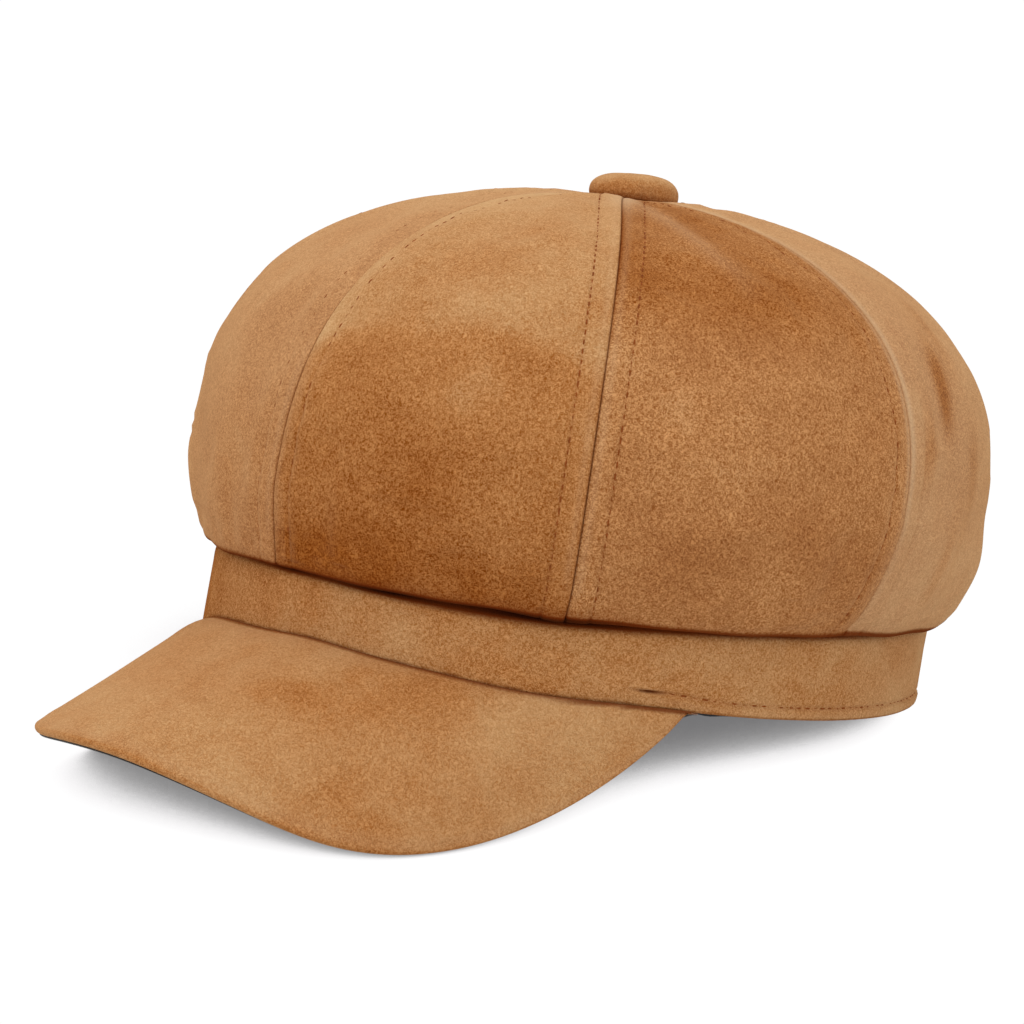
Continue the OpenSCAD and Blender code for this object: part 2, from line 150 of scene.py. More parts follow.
def node_points(node):
    """A CAD piece's vertices in the band's axes, in mm: the reverse of lean()."""
    p = np.array([v.co for v in frame["nodes"][node].data.vertices], float) * 1000
    x, y, z = p[..., 0], p[..., 1], p[..., 2]
    return np.stack([x, y * TILT_COS - z * TILT_SIN, y * TILT_SIN + z * TILT_COS], -1)


BAND_X, BAND_Y, BAND_H = node_points("outer_band").max(0)      # half width, half length, height
BUTTON_LO, BUTTON_HI = node_points("button_cover").min(0), node_points("button_cover").max(0)
BUTTON_R = (BUTTON_HI[0] - BUTTON_LO[0]) / 2
BUTTON_Y = (BUTTON_HI[1] + BUTTON_LO[1]) / 2                   # the crown's top lies over it too
BUTTON_Z = BUTTON_LO[2]
BUTTON_H = BUTTON_HI[2] - BUTTON_Z
CROWN_H = max(node_points(n)[:, 2].max() for n in frame["nodes"] if n.startswith("crown_panel"))

# How the worn cap has slumped, as (angle, mm)
HEM_DROPS = ((-66, 4.28), (-54, 4.8), (-42, 5.95), (-30, 3.69), (-18, -0.4), (-6, -0.47),
             (8, -2.12), (24, -0.74), (42, 0.52), (76, 0.45), (92, 0.5), (108, 0.35))
# the visor's cut edge pulled in
VISOR_TRIMS = ((-58, 2.13), (-44, 2.3), (-30, 2.05), (-15, -1.39), (0, -0.56), (15, -0.08),
               (30, 1.0), (45, -0.31), (58, 4.53))
# and lifted
VISOR_LIFTS = ((-58, 2.07), (-44, 2.28), (-30, 2.04), (-15, -0.29), (0, -0.81), (15, -0.84),
               (30, -0.9), (45, -1.26), (58, 0.67))


def band_radius(angle):
    """The band's oval."""
    angle = np.radians(angle)
    return BAND_X * BAND_Y / np.sqrt((BAND_Y * np.sin(angle)) ** 2
                                     + (BAND_X * np.cos(angle)) ** 2)


def settle(p):
    """Soft sag: pushed in at the right temple and a little at the left rear, hem pulled down."""
    x, y, z = p[..., 0], p[..., 1], p[..., 2]
    angle = np.degrees(np.arctan2(x, -y))
    radius = np.hypot(x, y)
    near = ease((radius - 60) / 25)
    push = (0.6 + 1.5 * np.clip(z / 20, 0, 1)) * bell(angle, -46, 24) + 0.7 * bell(angle, 134, 28)
    push = (push * (1 - ease((z - 13) / 15)) * near
            + 0.55 * bell(z, 24.2, 1.8) * bell(angle, -44, 20) * near)
    out = np.clip((radius - band_radius(angle) - 1) / 55, 0, 1)
    drop = bells(angle, HEM_DROPS, 11) * (1 - np.clip(z / 22, 0, 1)) * (1 + 0.353 * out) * near
    shrink = 1 - push * (1 - out) / np.maximum(radius, 1)
    return np.stack([x * shrink, y * shrink, z - drop], -1)


def settled(points):
    """Any array of points as a list of settled vertices in the model's frame."""
    return lean(settle(np.reshape(points, (-1, 3))))


def around(angle, radius, z, setback=0.0):
    """Points at an angle and radius about an axis set back by a distance."""
    turn = np.radians(angle)
    return np.stack([radius * np.sin(turn), setback - radius * np.cos(turn), z + 0 * radius], -1)


# ------------------------------------------------------------------ meshes
def new_object(name, verts, faces, attributes=None):
    mesh = bpy.data.meshes.new(name)
    mesh.from_pydata([tuple(v) for v in verts], [], faces)
    mesh.validate()
    for key, values in (attributes or {}).items():
        attribute = mesh.attributes.new(key, "FLOAT", "POINT")
        attribute.data.foreach_set("value", np.ravel(values).astype(np.float32))
    mesh.polygons.foreach_set("use_smooth", [True] * len(mesh.polygons))
    mesh.update()
    obj = bpy.data.objects.new(name, mesh)
    SCENE.collection.objects.link(obj)
    return obj


def turn_outward(obj):
    """Turns a closed mesh's faces outward and shades them all smooth."""
    bm = bmesh.new()
    bm.from_mesh(obj.data)
    if bm.calc_volume(signed=True) < 0:
        bmesh.ops.reverse_faces(bm, faces=bm.faces)
    bm.to_mesh(obj.data)
    bm.free()
    obj.data.polygons.foreach_set("use_smooth", [True] * len(obj.data.polygons))


def closed_object(name, verts, faces, attributes=None):
    obj = new_object(name, verts, faces, attributes)
    turn_outward(obj)
    return obj


def column_pairs(cols, wrap):
    """Each column and the one after it."""
    j = np.arange(cols if wrap else cols - 1)
    return j, (j + 1) % cols


def grid_faces(rows, cols, base=0, flip=False, wrap=False):
    j, k = column_pairs(cols, wrap)
    row = base + np.arange(rows - 1)[:, None] * cols
    faces = np.stack([row + j, row + k, row + cols + k, row + cols + j], -1).reshape(-1, 4)
    return faces[:, ::-1] if flip else faces


def closing_faces(rows, cols, wrap):
    """Faces that join a grid's last row to its first."""
    j, k = column_pairs(cols, wrap)
    last = (rows - 1) * cols
    return np.stack([last + j, last + k, k, j], -1)


def sheet(name, outer, inner, attributes):
    """A closed sheet between two grids of points. Attributes belong to the outer face."""
    rows, cols = outer.shape[:2]
    verts = np.concatenate([outer.reshape(-1, 3), inner.reshape(-1, 3)])
    under = rows * cols
    last = (rows - 1) * cols
    j, k = column_pairs(cols, False)
    left = np.arange(rows - 1) * cols
    right = left + cols - 1
    faces = [
        grid_faces(rows, cols),
        grid_faces(rows, cols, under, flip=True),
        np.stack([j, under + j, under + k, k], -1),
        np.stack([last + j, last + k, under + last + k, under + last + j], -1),
        np.stack([left, left + cols, under + left + cols, under + left], -1),
        np.stack([right, under + right, under + right + cols, right + cols], -1),
    ]
    values = {key: np.append(np.ravel(v), np.zeros(under)) for key, v in attributes.items()}
    obj = new_object(name, settled(verts), np.concatenate(faces).tolist(), values)
    # the cut edges stay flat, unless validation took faces away
    broad = len(faces[0]) + len(faces[1])
    polygons = obj.data.polygons
    if len(polygons) == sum(len(f) for f in faces):
        polygons.foreach_set("use_smooth", [i < broad for i in range(len(polygons))])
    return obj


def outward_normals(points, wrap=False):
    """Unit normals of a grid on the crown, pointing away from its inside."""
    down = np.gradient(points, axis=0)
    if wrap:
        across = (np.roll(points, -1, 1) - np.roll(points, 1, 1)) / 2
    else:
        across = np.gradient(points, axis=1)
    normals = np.cross(down, across)
    normals /= np.linalg.norm(normals, axis=-1, keepdims=True) + 1e-12
    probe = points.shape[0] // 4, points.shape[1] // 2
    inside = np.array([0, BUTTON_Y, 50])
    return -normals if (normals[probe] * (points[probe] - inside)).sum() < 0 else normals


def fit(obj, material, node, rider="band", pressed=False):
    """Gives a piece its material, hangs it on its body's empty if it rides one, and hides the CAD part that
    it stands for.
    """
    obj.data.materials.append(material)
    if rider:
        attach(obj, rider)
    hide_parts(node)
    if pressed:
        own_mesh(obj)


# ------------------------------------------------------------------ materials
def srgb(*channels):
    linear = [((c / 255 + 0.055) / 1.055) ** 2.4 if c > 10 else c / 255 / 12.92 for c in channels]
    return (*linear, 1.0)


def brighter(color, factor):
    return tuple(min(1, c * factor) for c in color[:3]) + (1,)


class Nodes:
    """A material with a Principled shader, and short ways to add nodes to it."""

    def __init__(self, name):
        self.material = bpy.data.materials.new(name)
        self.material.use_nodes = True
        self.tree = self.material.node_tree
        self.tree.nodes.clear()
        out = self.node("ShaderNodeOutputMaterial")
        self.shader = self.node("ShaderNodeBsdfPrincipled")
        self.put(out.inputs["Surface"], self.shader.outputs[0])
        self.coords = self.node("ShaderNodeTexCoord").outputs["Object"]

    def put(self, socket, value):
        """Links a socket to the input, or sets its value."""
        if isinstance(value, bpy.types.NodeSocket):
            self.tree.links.new(value, socket)
        else:
            socket.default_value = value

    def node(self, kind, inputs=None, **settings):
        node = self.tree.nodes.new(kind)
        for key, value in settings.items():
            setattr(node, key, value)
        for key, value in (inputs or {}).items():
            self.put(node.inputs[key], value)
        return node

    def surface(self, inputs):
        for key, value in inputs.items():
            self.put(self.shader.inputs[key], value)

    def mapping(self, vector=None, scale=(1, 1, 1), location=(0, 0, 0)):
        return self.node("ShaderNodeMapping", {
            "Scale": scale, "Location": location, "Vector": vector or self.coords}).outputs[0]

    def noise(self, scale, detail, rough, vector=None, distortion=0.0):
        return self.node("ShaderNodeTexNoise", {
            "Scale": scale, "Detail": detail, "Roughness": rough, "Distortion": distortion,
            "Vector": vector or self.coords}).outputs["Fac"]

    def math(self, operation, a, b, c=None, clamp=False):
        inputs = {0: a, 1: b} if c is None else {0: a, 1: b, 2: c}
        return self.node("ShaderNodeMath", inputs, operation=operation, use_clamp=clamp).outputs[0]

    def weighted(self, a, weight_a, b, weight_b):
        return self.math("MULTIPLY_ADD", a, weight_a, self.math("MULTIPLY", b, weight_b))

    def ramp(self, value, lo, hi, to_lo=0.0, to_hi=1.0):
        return self.node("ShaderNodeMapRange", {
            "Value": value, "From Min": lo, "From Max": hi, "To Min": to_lo, "To Max": to_hi,
        }, interpolation_type="SMOOTHSTEP").outputs[0]

    def mix(self, factor, a, b, mode="MIX"):
        return self.node("ShaderNodeMix", {0: factor, 6: a, 7: b},
                         data_type="RGBA", blend_type=mode).outputs[2]

    def attr(self, name):
        return self.node("ShaderNodeAttribute", attribute_name=name,
                         attribute_type="GEOMETRY").outputs["Fac"]

    def bump(self, height, strength, distance, normal=None):
        inputs = {"Strength": strength, "Distance": distance, "Height": height}
        if normal is not None:
            inputs["Normal"] = normal
        return self.node("ShaderNodeBump", inputs).outputs[0]


CAMEL = srgb(176, 119, 69)
CAMEL_LIGHT = srgb(200, 157, 109)
CAMEL_DARK = srgb(144, 81, 31)
# pale camel of worn nap and of painted highlights
CAMEL_WEAR_AND_HIGHLIGHT = srgb(207, 174, 137)
# pale camel of the painted sheen
CAMEL_SHEEN_PAINT = srgb(213, 172, 127)
# brown of the dark seams and of painted shade
SEAM_AND_SHADE_BROWN = srgb(108, 46, 14)
# the deepest painted shadow, under the crown's roll
DEEPEST_SHADE_BROWN = srgb(38, 13, 6)
FIBRE_SHADED = (0.57, 0.34, 0.05, 1)     # a fibre's shaded side is redder than its lit side
FIBRE_LIT = (1.47, 1.69, 1.98, 1)
SHEEN_PAINT_STRENGTH = 0.60                             # how far the painted sheen pales the cloth at grazing angles
BLOTCH = 0.16                            # how far each size of blotch moves the tone


def nap_material(name, seed, tone_and_shade=0.0, grain=1.0):
    """Brushed cloth: blotches of laid-over nap, fine fibres, dark seams with painted shade, and
    paler worn nap with painted highlights and a painted sheen at grazing angles. Attributes on
    the meshes steer its tone with painted shade, its wear with painted highlights, its dark seams
    with painted shade, and its painted sheen."""
    n = Nodes(name)
    place = n.mapping(location=(seed * 1.7, seed * 0.9, seed * 2.3))
    blotches = n.noise(17, detail=3, rough=0.55, vector=place, distortion=0.4)
    mid = n.noise(70, detail=4, rough=0.6, vector=n.mapping(place), distortion=0.3)
    fine = n.noise(1750, detail=2, rough=0.7, vector=place, distortion=1.0)
    fibre = n.noise(800, detail=3, rough=0.7, vector=place, distortion=3.0)

    large = n.ramp(blotches, lo=0.34, hi=0.68)
    small = n.ramp(mid, lo=0.3, hi=0.72)
    level = n.weighted(large, BLOTCH, small, BLOTCH)
    level = n.math("ADD", level, tone_and_shade + 0.5 - BLOTCH)
    level = n.math("ADD", level, n.attr("tone_and_shade"), clamp=True)
    color = n.mix(n.math("MULTIPLY", level, 2.0, clamp=True), CAMEL_DARK, CAMEL)
    color = n.mix(n.math("MULTIPLY_ADD", level, 2.0, -1.0, clamp=True), color, CAMEL_LIGHT)

    grains = n.weighted(n.ramp(fine, lo=0.28, hi=0.72), 0.5, n.ramp(fibre, lo=0.3, hi=0.7), 0.5)
    shade = n.mix(n.ramp(grains, lo=0.10, hi=0.90), FIBRE_SHADED, FIBRE_LIT)
    # pale, flattened nap shows less of its grain
    amount = n.math("MULTIPLY", n.math("MULTIPLY_ADD", level, -1.01, 1.26), grain, clamp=True)
    grained = n.mix(amount, color, shade, "MULTIPLY")
    # paler where the nap is worn and where a highlight is painted
    color = n.mix(n.math("MULTIPLY", n.attr("wear_and_highlight"), 0.75, clamp=True), grained, CAMEL_WEAR_AND_HIGHLIGHT)
    # a value from 0 to 1 darkens towards the brown of dark seams and painted shade, and one from 1 to 2 goes
    # on to the deepest painted shadow
    color = n.mix(n.math("MULTIPLY", n.attr("seam_dark_and_shade"), 1.0, clamp=True), color, SEAM_AND_SHADE_BROWN)
    color = n.mix(n.math("ADD", n.attr("seam_dark_and_shade"), -1.0, clamp=True), color, DEEPEST_SHADE_BROWN)

    # painted sheen: paler towards a greyish camel at glancing angles, less so in the seams and painted shade
    facing = n.node("ShaderNodeLayerWeight", {"Blend": 0.5}).outputs["Facing"]
    glancing = n.ramp(facing, lo=0.25, hi=0.98)
    painted_sheen = n.math("MULTIPLY_ADD", n.attr("seam_dark_and_shade"), -SHEEN_PAINT_STRENGTH * 2.4, SHEEN_PAINT_STRENGTH, clamp=True)
    painted_sheen = n.math("MULTIPLY", painted_sheen, n.math("ADD", n.attr("painted_sheen"), 1.0), clamp=True)
    color = n.mix(n.math("MULTIPLY", glancing, painted_sheen), color, n.mix(0.45, CAMEL_SHEEN_PAINT, grained))

    n.shader.inputs["Roughness"].default_value = 0.95   # stands in if the link below is cut
    height = n.weighted(fine, 0.5, fibre, 0.6)
    soft = n.bump(mid, strength=0.30, distance=0.0012)
    n.surface({
        "Base Color": color,
        "Roughness": n.ramp(grains, lo=0, hi=1, to_lo=0.86, to_hi=1.0),
        "Specular IOR Level": 0.0,
        "Sheen Weight": 0.06,
        "Sheen Roughness": 0.35,
        "Sheen Tint": srgb(255, 178, 110),
        "Normal": n.bump(height, strength=0.9, distance=0.0006, normal=soft),
    })
    return n.material


def thread_material():
    n = Nodes("tan_thread")
    color = srgb(112, 56, 22)
    twist = n.noise(2600, detail=2, rough=0.6, vector=n.mapping(scale=(1, 1, 0.4)))
    n.surface({
        "Base Color": n.mix(n.ramp(twist, lo=0.3, hi=0.7), color, brighter(color, 1.7)),
        "Roughness": n.ramp(twist, lo=0.2, hi=0.8, to_lo=0.6, to_hi=0.85),
        "Specular IOR Level": 0.05,
        "Normal": n.bump(twist, strength=0.6, distance=0.0002),
    })
    return n.material


def weave_material(name, color, scale, rough, contrast=0.35, sheen=0.25, specular=0.2):
    """Woven cloth: warp and weft ridges with slubs and slow unevenness."""
    n = Nodes(name)
    warp, weft = [
        n.node("ShaderNodeTexWave",
               {"Scale": scale, "Distortion": 1.5, "Detail": 1, "Vector": n.coords},
               wave_type="BANDS", bands_direction=direction).outputs["Fac"]
        for direction in ("Z", "DIAGONAL")]
    slub = n.noise(140, detail=4, rough=0.6)
    ridges = n.weighted(warp, 0.5, weft, 0.5)
    level = n.weighted(slub, 0.5, ridges, 0.6)
    cloth = n.mix(n.ramp(level, lo=0.2, hi=0.9),
                  brighter(color, 1 - contrast), brighter(color, 1 + contrast))
    seam_dark_and_shade = n.math("MULTIPLY", n.attr("seam_dark_and_shade"), 0.8, clamp=True)
    n.surface({
        "Base Color": n.mix(seam_dark_and_shade, cloth, (0.002, 0.002, 0.002, 1)),
        "Roughness": n.ramp(slub, lo=0.2, hi=0.8, to_lo=rough - 0.1, to_hi=min(1, rough + 0.1)),
        "Specular IOR Level": specular,
        "Sheen Weight": sheen,
        "Normal": n.bump(ridges, strength=0.5, distance=0.0002),
    })
    return n.material


def metal_material():
    n = Nodes("stamped_metal")
    color = (0.62, 0.62, 0.64, 1)
    scuffs = n.noise(260, detail=5, rough=0.65, vector=n.mapping(scale=(1, 1, 6)))
    n.surface({
        "Base Color": n.mix(n.ramp(scuffs, lo=0.3, hi=0.75), brighter(color, 0.75), color),
        "Metallic": 1,
        "Roughness": n.ramp(scuffs, lo=0.2, hi=0.8, to_lo=0.28, to_hi=0.5),
        "Normal": n.bump(scuffs, strength=0.15, distance=0.0002),
    })
    return n.material


def board_material():
    n = Nodes("board_plastic")
    grit = n.noise(500, detail=4, rough=0.6)
    n.surface({
        "Base Color": n.mix(n.ramp(grit, lo=0.3, hi=0.7),
                            (0.02, 0.02, 0.022, 1), (0.05, 0.05, 0.055, 1)),
        "Roughness": n.ramp(grit, lo=0.2, hi=0.8, to_lo=0.5, to_hi=0.7),
        "Normal": n.bump(grit, strength=0.25, distance=0.0002),
    })
    return n.material


# ------------------------------------------------------------------ crown profile
# points down each part of the profile: dome to its widest level, in to the roll, the turned
# edge's hook, its rise along the band, and over the band's top
N_UP, N_LOW, N_HOOK, N_RISE, N_OVER = 112, 76, 22, 5, 3
ROLL_ROW = N_UP + N_LOW - 2              # where the panel meets its turned edge
DEGREES = np.arange(0, 360, 1.0)[None, :]
EDGE_GAP = 0.4                           # between the band and the turned edge


def crown_radius(angle):
    rear = ease((-cosd(angle) - 0.72) / 0.28)
    return 104.4 + 4.5 * cosd(angle) - 3 * cosd(2 * angle) + 7 * rear


def roll_out(angle):
    """How far the roll at the crown's foot stands out from the band."""
    side = signed(angle)
    return (3.89 - 1.5 * cosd(angle) + 1.3 * bell(side, 44, 13) + 0.5 * bell(side, -20, 18)
            + 0.5 * bell(side, 150, 25))


def roll_z(angle):
    return 22.3 - 3.2 * cosd(angle)


def edge_top(angle):
    """Height to which the turned edge rises."""
    return np.maximum(BAND_H + EDGE_GAP, roll_z(angle) + 0.3)


def resample(lines, count):
    """Polylines down axis 0, one for each column, as count points evenly spaced along each."""
    steps = np.sqrt((np.diff(lines[..., :2], axis=0) ** 2).sum(-1))
    run = np.concatenate([np.zeros((1, lines.shape[1])), np.cumsum(steps, 0)], 0)
    out = np.empty((count, lines.shape[1], lines.shape[2]))
    for k in range(lines.shape[1]):
        at = np.linspace(0, 1, count) * run[-1, k]
        for channel in range(lines.shape[2]):
            out[:, k, channel] = np.interp(at, run[:, k], lines[:, k, channel])
    return out


def joined(parts, counts):
    """Resampled parts end to end, sharing the points where they meet."""
    pieces = [resample(part, count) for part, count in zip(parts, counts)]
    return np.concatenate([pieces[0]] + [piece[1:] for piece in pieces[1:]], 0)


def dome(radius, top_z, apex, foot_r, foot_z, counts, crowding):
    """Superellipses from the apex radius to the widest level and from there in to the foot, as
    [radius, z, share of the setback]. Crowding above 1 draws points to the apex."""
    backness = -cosd(DEGREES)
    wide_z = 50.4 - 11.3 * cosd(DEGREES)
    top_out, top_up = 2.2 + 0.05 * backness, 2.52
    low_in, low_down = 1.46 + 0.38 * backness, 1.21 - 0.30 * backness
    start = np.arcsin((apex / radius) ** (top_out / 2))
    turn = start + (np.pi / 2 - start) * np.linspace(0, 1, counts[0])[:, None] ** crowding
    upper = np.stack([radius * np.sin(turn) ** (2 / top_out),
                      wide_z + (top_z - wide_z) * np.cos(turn).clip(0) ** (2 / top_up),
                      np.ones_like(turn)], -1)
    turn = np.pi / 2 * np.linspace(0, 1, counts[1])[:, None] + 0 * DEGREES
    lower = np.stack([foot_r + (radius - foot_r) * np.cos(turn).clip(0) ** (2 / low_in),
                      wide_z - (wide_z - foot_z) * np.sin(turn) ** (2 / low_down),
                      np.cos(turn)], -1)
    return [upper, lower]


def crown_profiles():
    """(rows, degrees, [radius, z, share of the setback]) of the crown's even surface."""
    band_r, out, roll = band_radius(DEGREES), roll_out(DEGREES), roll_z(DEGREES)
    parts = dome(crown_radius(DEGREES), CROWN_H, apex=3.0, foot_r=band_r + out, foot_z=roll,
                 counts=(400, 300), crowding=1.3)
    hook_r = (out - EDGE_GAP) / 2
    turn = np.linspace(0, np.pi, 60)[:, None] + 0 * DEGREES
    edge_r = band_r + EDGE_GAP
    parts.append(np.stack([edge_r + hook_r + hook_r * np.cos(turn),
                           roll - hook_r * np.sin(turn), 0 * turn], -1))
    top = edge_top(DEGREES)
    share = np.linspace(0, 1, 12)[:, None]
    none = 0 * share + 0 * DEGREES
    parts.append(np.stack([edge_r + none, roll + (top - roll) * share, none], -1))
    parts.append(np.stack([edge_r - 1.9 * share, top + none, none], -1))
    lines = joined(parts, (N_UP, N_LOW, N_HOOK, N_RISE, N_OVER))
    # round the corner where the panel meets its turned edge
    weight = np.zeros(len(lines))
    weight[ROLL_ROW - 9:ROLL_ROW + 10] = np.sin(np.linspace(0, np.pi, 19)) ** 0.7
    for _ in range(26):
        smooth = lines.copy()
        smooth[1:-1] = (lines[:-2] + 2 * lines[1:-1] + lines[2:]) / 4
        lines = lines + (smooth - lines) * weight[:, None, None]
    return lines


def at_angle(table, angle):
    """Looks up a table (rows, angles, channels) at angles (rows, cols), by Catmull-Rom so that
    the table's facets don't show."""
    count = table.shape[1]
    x = (np.asarray(angle) % 360) * count / 360
    i = np.floor(x).astype(int)
    f = (x - i)[..., None]
    rows = np.arange(table.shape[0])[:, None]
    p0, p1, p2, p3 = (table[rows, (i + offset) % count] for offset in (-1, 0, 1, 2))
    return 0.5 * (2 * p1 + (p2 - p0) * f + (2 * p0 - 5 * p1 + 4 * p2 - p3) * f ** 2
                  + (3 * p1 - p0 - 3 * p2 + p3) * f ** 3)


# ------------------------------------------------------------------ crown cloth
GORES = 8
GORE = 360 / GORES                       # one gore's angle
STITCH_PITCH = 2.75
STITCH_SEAM = 5.8                        # topstitching's distance from the seam
# columns of a gore by distance from its seam; beyond the last, FAR_COLS even steps to its middle
NEAR_COLS = np.array([0, 0.12, 0.28, 0.48, 0.72, 1.0, 1.35, 1.8, 2.4, 3.1, 3.8, 4.5, 5.0, 5.4,
                      5.8, 6.2, 6.6, 7.1, 7.8, 8.7, 10.0])
FAR_COLS = 18
TABLE = crown_profiles()

# How sharply each seam shows, seam 0 at the front: (high on the crown, added low down)
SEAM_CRISP = [(0.02, 0.70), (1.0, 0), (0.30, 0.35), (0.6, 0.1),
              (0.5, 0.3), (0.75, 0), (0.55, 0.2), (0.45, 0.3)]
SEAM_WAVES = [waves(101 + i, 5, 1, 1) for i in range(GORES)]
# Soft folds: angle at the button, angle at the far end, from radius, to radius, width, height
FOLDS = [(49, 68, 22, 86, 3.8, 0.8), (38, 18, 20, 66, 5.0, 0.4), (-20, -34, 14, 70, 5, 0.4),
         (110, 128, 14, 80, 5, 0.5), (160, 150, 14, 66, 5, 0.4), (-110, -124, 14, 80, 5, 0.45),
         (-150, -160, 14, 60, 5, 0.4)]
# Where the crown sits fuller or flatter: angle, its width, z, its width, height
BULGES = [(-66, 34, 99, 14, 0.45), (-44, 34, 54, 15, -0.85), (128, 30, 34, 9, 0.55),
          (138, 30, 41, 11, 3.3)]
# How far each gore is painted pale as sheen, and how much more painted sheen it gets at a glancing angle
GORE_SHEEN_PALE = (0.0, 0.09, 0.40, 0.16, 0.06, 0.14, 0.10, 0.24)
GORE_PAINTED_SHEEN = (0.0, -0.15, 0.25, 0.0, 0.0, 0.0, 0.0, 0.14)

# In what follows: seam is the distance from the nearest seam, half the gore's half width, run
# the distance down the profile, high 1 on the gore's half towards higher angles and 0 on the
# other, side the signed angle.


def gore_columns(gore):
    """Angles, distances from the nearest seam, and half widths, down and across a gore."""
    middle = GORE / 2 + GORE * gore
    radius = at_angle(TABLE, np.full((len(TABLE), 1), middle))[..., 0]
    half = np.radians(GORE / 2) * radius
    near = NEAR_COLS[None, :] * np.minimum(1.0, half / 13.5)
    share = (np.arange(1, FAR_COLS + 1) / FAR_COLS)[None, :]
    seam = np.concatenate([near, near[:, -1:] + (half - near[:, -1:]) * share], 1)
    offset = GORE / 2 * (1 - seam / half)
    angle = middle + np.concatenate([-offset, offset[:, -2::-1]], 1)
    return angle, np.concatenate([seam, seam[:, -2::-1]], 1), half


def seam_wave(gore, high, x):
    """Slow change along the seam nearest each point, roughly -1 to 1."""
    low_side, high_side = (SEAM_WAVES[i % GORES](0.0 * x, x) * 0.7 for i in (gore, gore + 1))
    return np.where(high > 0, high_side, low_side)


def crispness(gore, high, z):
    """How sharply the seam shows: the nap has closed over most of them."""
    low = 1 - ease((z - 55) / 30)
    pairs = (SEAM_CRISP[i % GORES] for i in (gore, gore + 1))
    low_side, high_side = (base + gain * low for base, gain in pairs)
    return np.where(high > 0, high_side, low_side)


def fold_relief(side, radius, narrow=1.0, fading=0.0):
    total = 0
    for start, end, r_start, r_end, width, height in FOLDS:
        f = np.clip((radius - r_start) / (r_end - r_start), 0, 1)
        off = np.radians(side - (start + (end - start) * f ** 0.8)) * radius
        total = total + (height * bell(off, 0, width * narrow) * np.sin(np.pi * f) ** 0.6
                         * (1 - fading * f))
    return total


def gore_size(half):
    return np.clip(half / 38, 0, 1)


def belly(seam, half):
    """The gore stands fullest in its middle."""
    rise = np.sin(np.pi / 2 * np.clip(seam / half, 0, 1)) ** 0.8
    return 1.5 * gore_size(half) * (rise - 0.6)


def clear_of_button(radius):
    return ease((radius - 13.5) / 2.5)


def crown_relief(angle, seam, half, run, radius, z, gore, high):
    """Outward relief of the crown's cloth in mm."""
    size = gore_size(half)
    side = signed(angle)
    crisp = crispness(gore, high, z) * (0.85 + 0.25 * seam_wave(gore, high, run / 9))
    # the seam's rounded valley
    x = np.clip(seam / 0.5, 0, 1)
    valley = 1 - np.sqrt(np.clip(1 - (1 - x) ** 2, 0, 1))
    lift = belly(seam, half) - 0.42 * crisp * valley * np.clip(half / 6, 0.4, 1)
    # the seam allowance lies to one side and lifts it
    allowance = np.where(high > 0, 0.34, -0.02) * crisp * bell(seam, 0, 3.6)
    lift = lift + allowance * np.clip(half / 8, 0.3, 1)
    welt = 0.26 * ease(seam / 1.6) * (1 - ease((seam - 4.6) / 1.6)) * np.clip(half / 8, 0.3, 1)
    # the topstitching pulls the cloth down, most at each stitch
    clear = clear_of_button(radius)
    pull = -0.27 * bell(seam, STITCH_SEAM, 0.55) * clear
    beat = 0.5 + 0.5 * np.cos(2 * np.pi * run / STITCH_PITCH)
    dimple = -0.10 * bell(seam, STITCH_SEAM, 0.5) * beat * clear
    lift = lift + (welt + pull + dimple) * crisp
    # gathers beside the seams
    lift = lift + 0.13 * size * waves(11, 9, 10, 60)(angle * 0.6, run / 7.0) * bell(seam, 8, 7)
    # slow unevenness of worn cloth
    lift = lift + 0.50 * size * waves(3, 7, 2, 7)(angle, run / 28.0)
    lift = lift + 0.16 * size * waves(5, 9, 8, 22)(angle, run / 17.0)
    for centre, width, z_centre, z_width, height in BULGES:
        lift = lift + height * bell(side, centre, width) * bell(z, z_centre, z_width)
    lift = lift + 0.70 * bell(side, 134, 38) * ease((z - 50) / 12)
    # soft pulls running out from under the button
    pulls = waves(13, 6, 5, 13)(angle, radius / 60.0)
    lift = lift + 0.30 * pulls * bell(radius, 24, 15) * np.clip(half / 6, 0, 1)
    return lift + fold_relief(side, radius) - 0.5 * bell(radius, 0, 13)


def edge_gathers(angle, to_roll):
    """Ripples in the turned edge that fade out upwards."""
    fade = (np.exp(-np.clip(to_roll, 0, None) / 12.0)
            * np.clip(1 - np.clip(-to_roll, 0, None) / 8.0, 0, 1))
    return 0.20 * waves(21, 9, 9, 26)(angle, to_roll / 30.0) * fade


def streaks(side, z):
    """Where the nap of gore 2 lies over in long dark strokes."""
    soft = 0.75 + 0.45 * waves(161, 8, 5, 26)(side * 3.0, z / 9.0)
    upper = (bell(side, 98.5 + (z - 78) * 0.32, 3.0)
             * ease((z - 54) / 22) * ease((112 - z) / 18))
    lower = (bell(side, 105 + (z - 50) * 0.1, 2.8)
             * ease((82 - z) / 20) * ease((z - 24) / 18))
    return soft * (upper + 0.55 * lower)


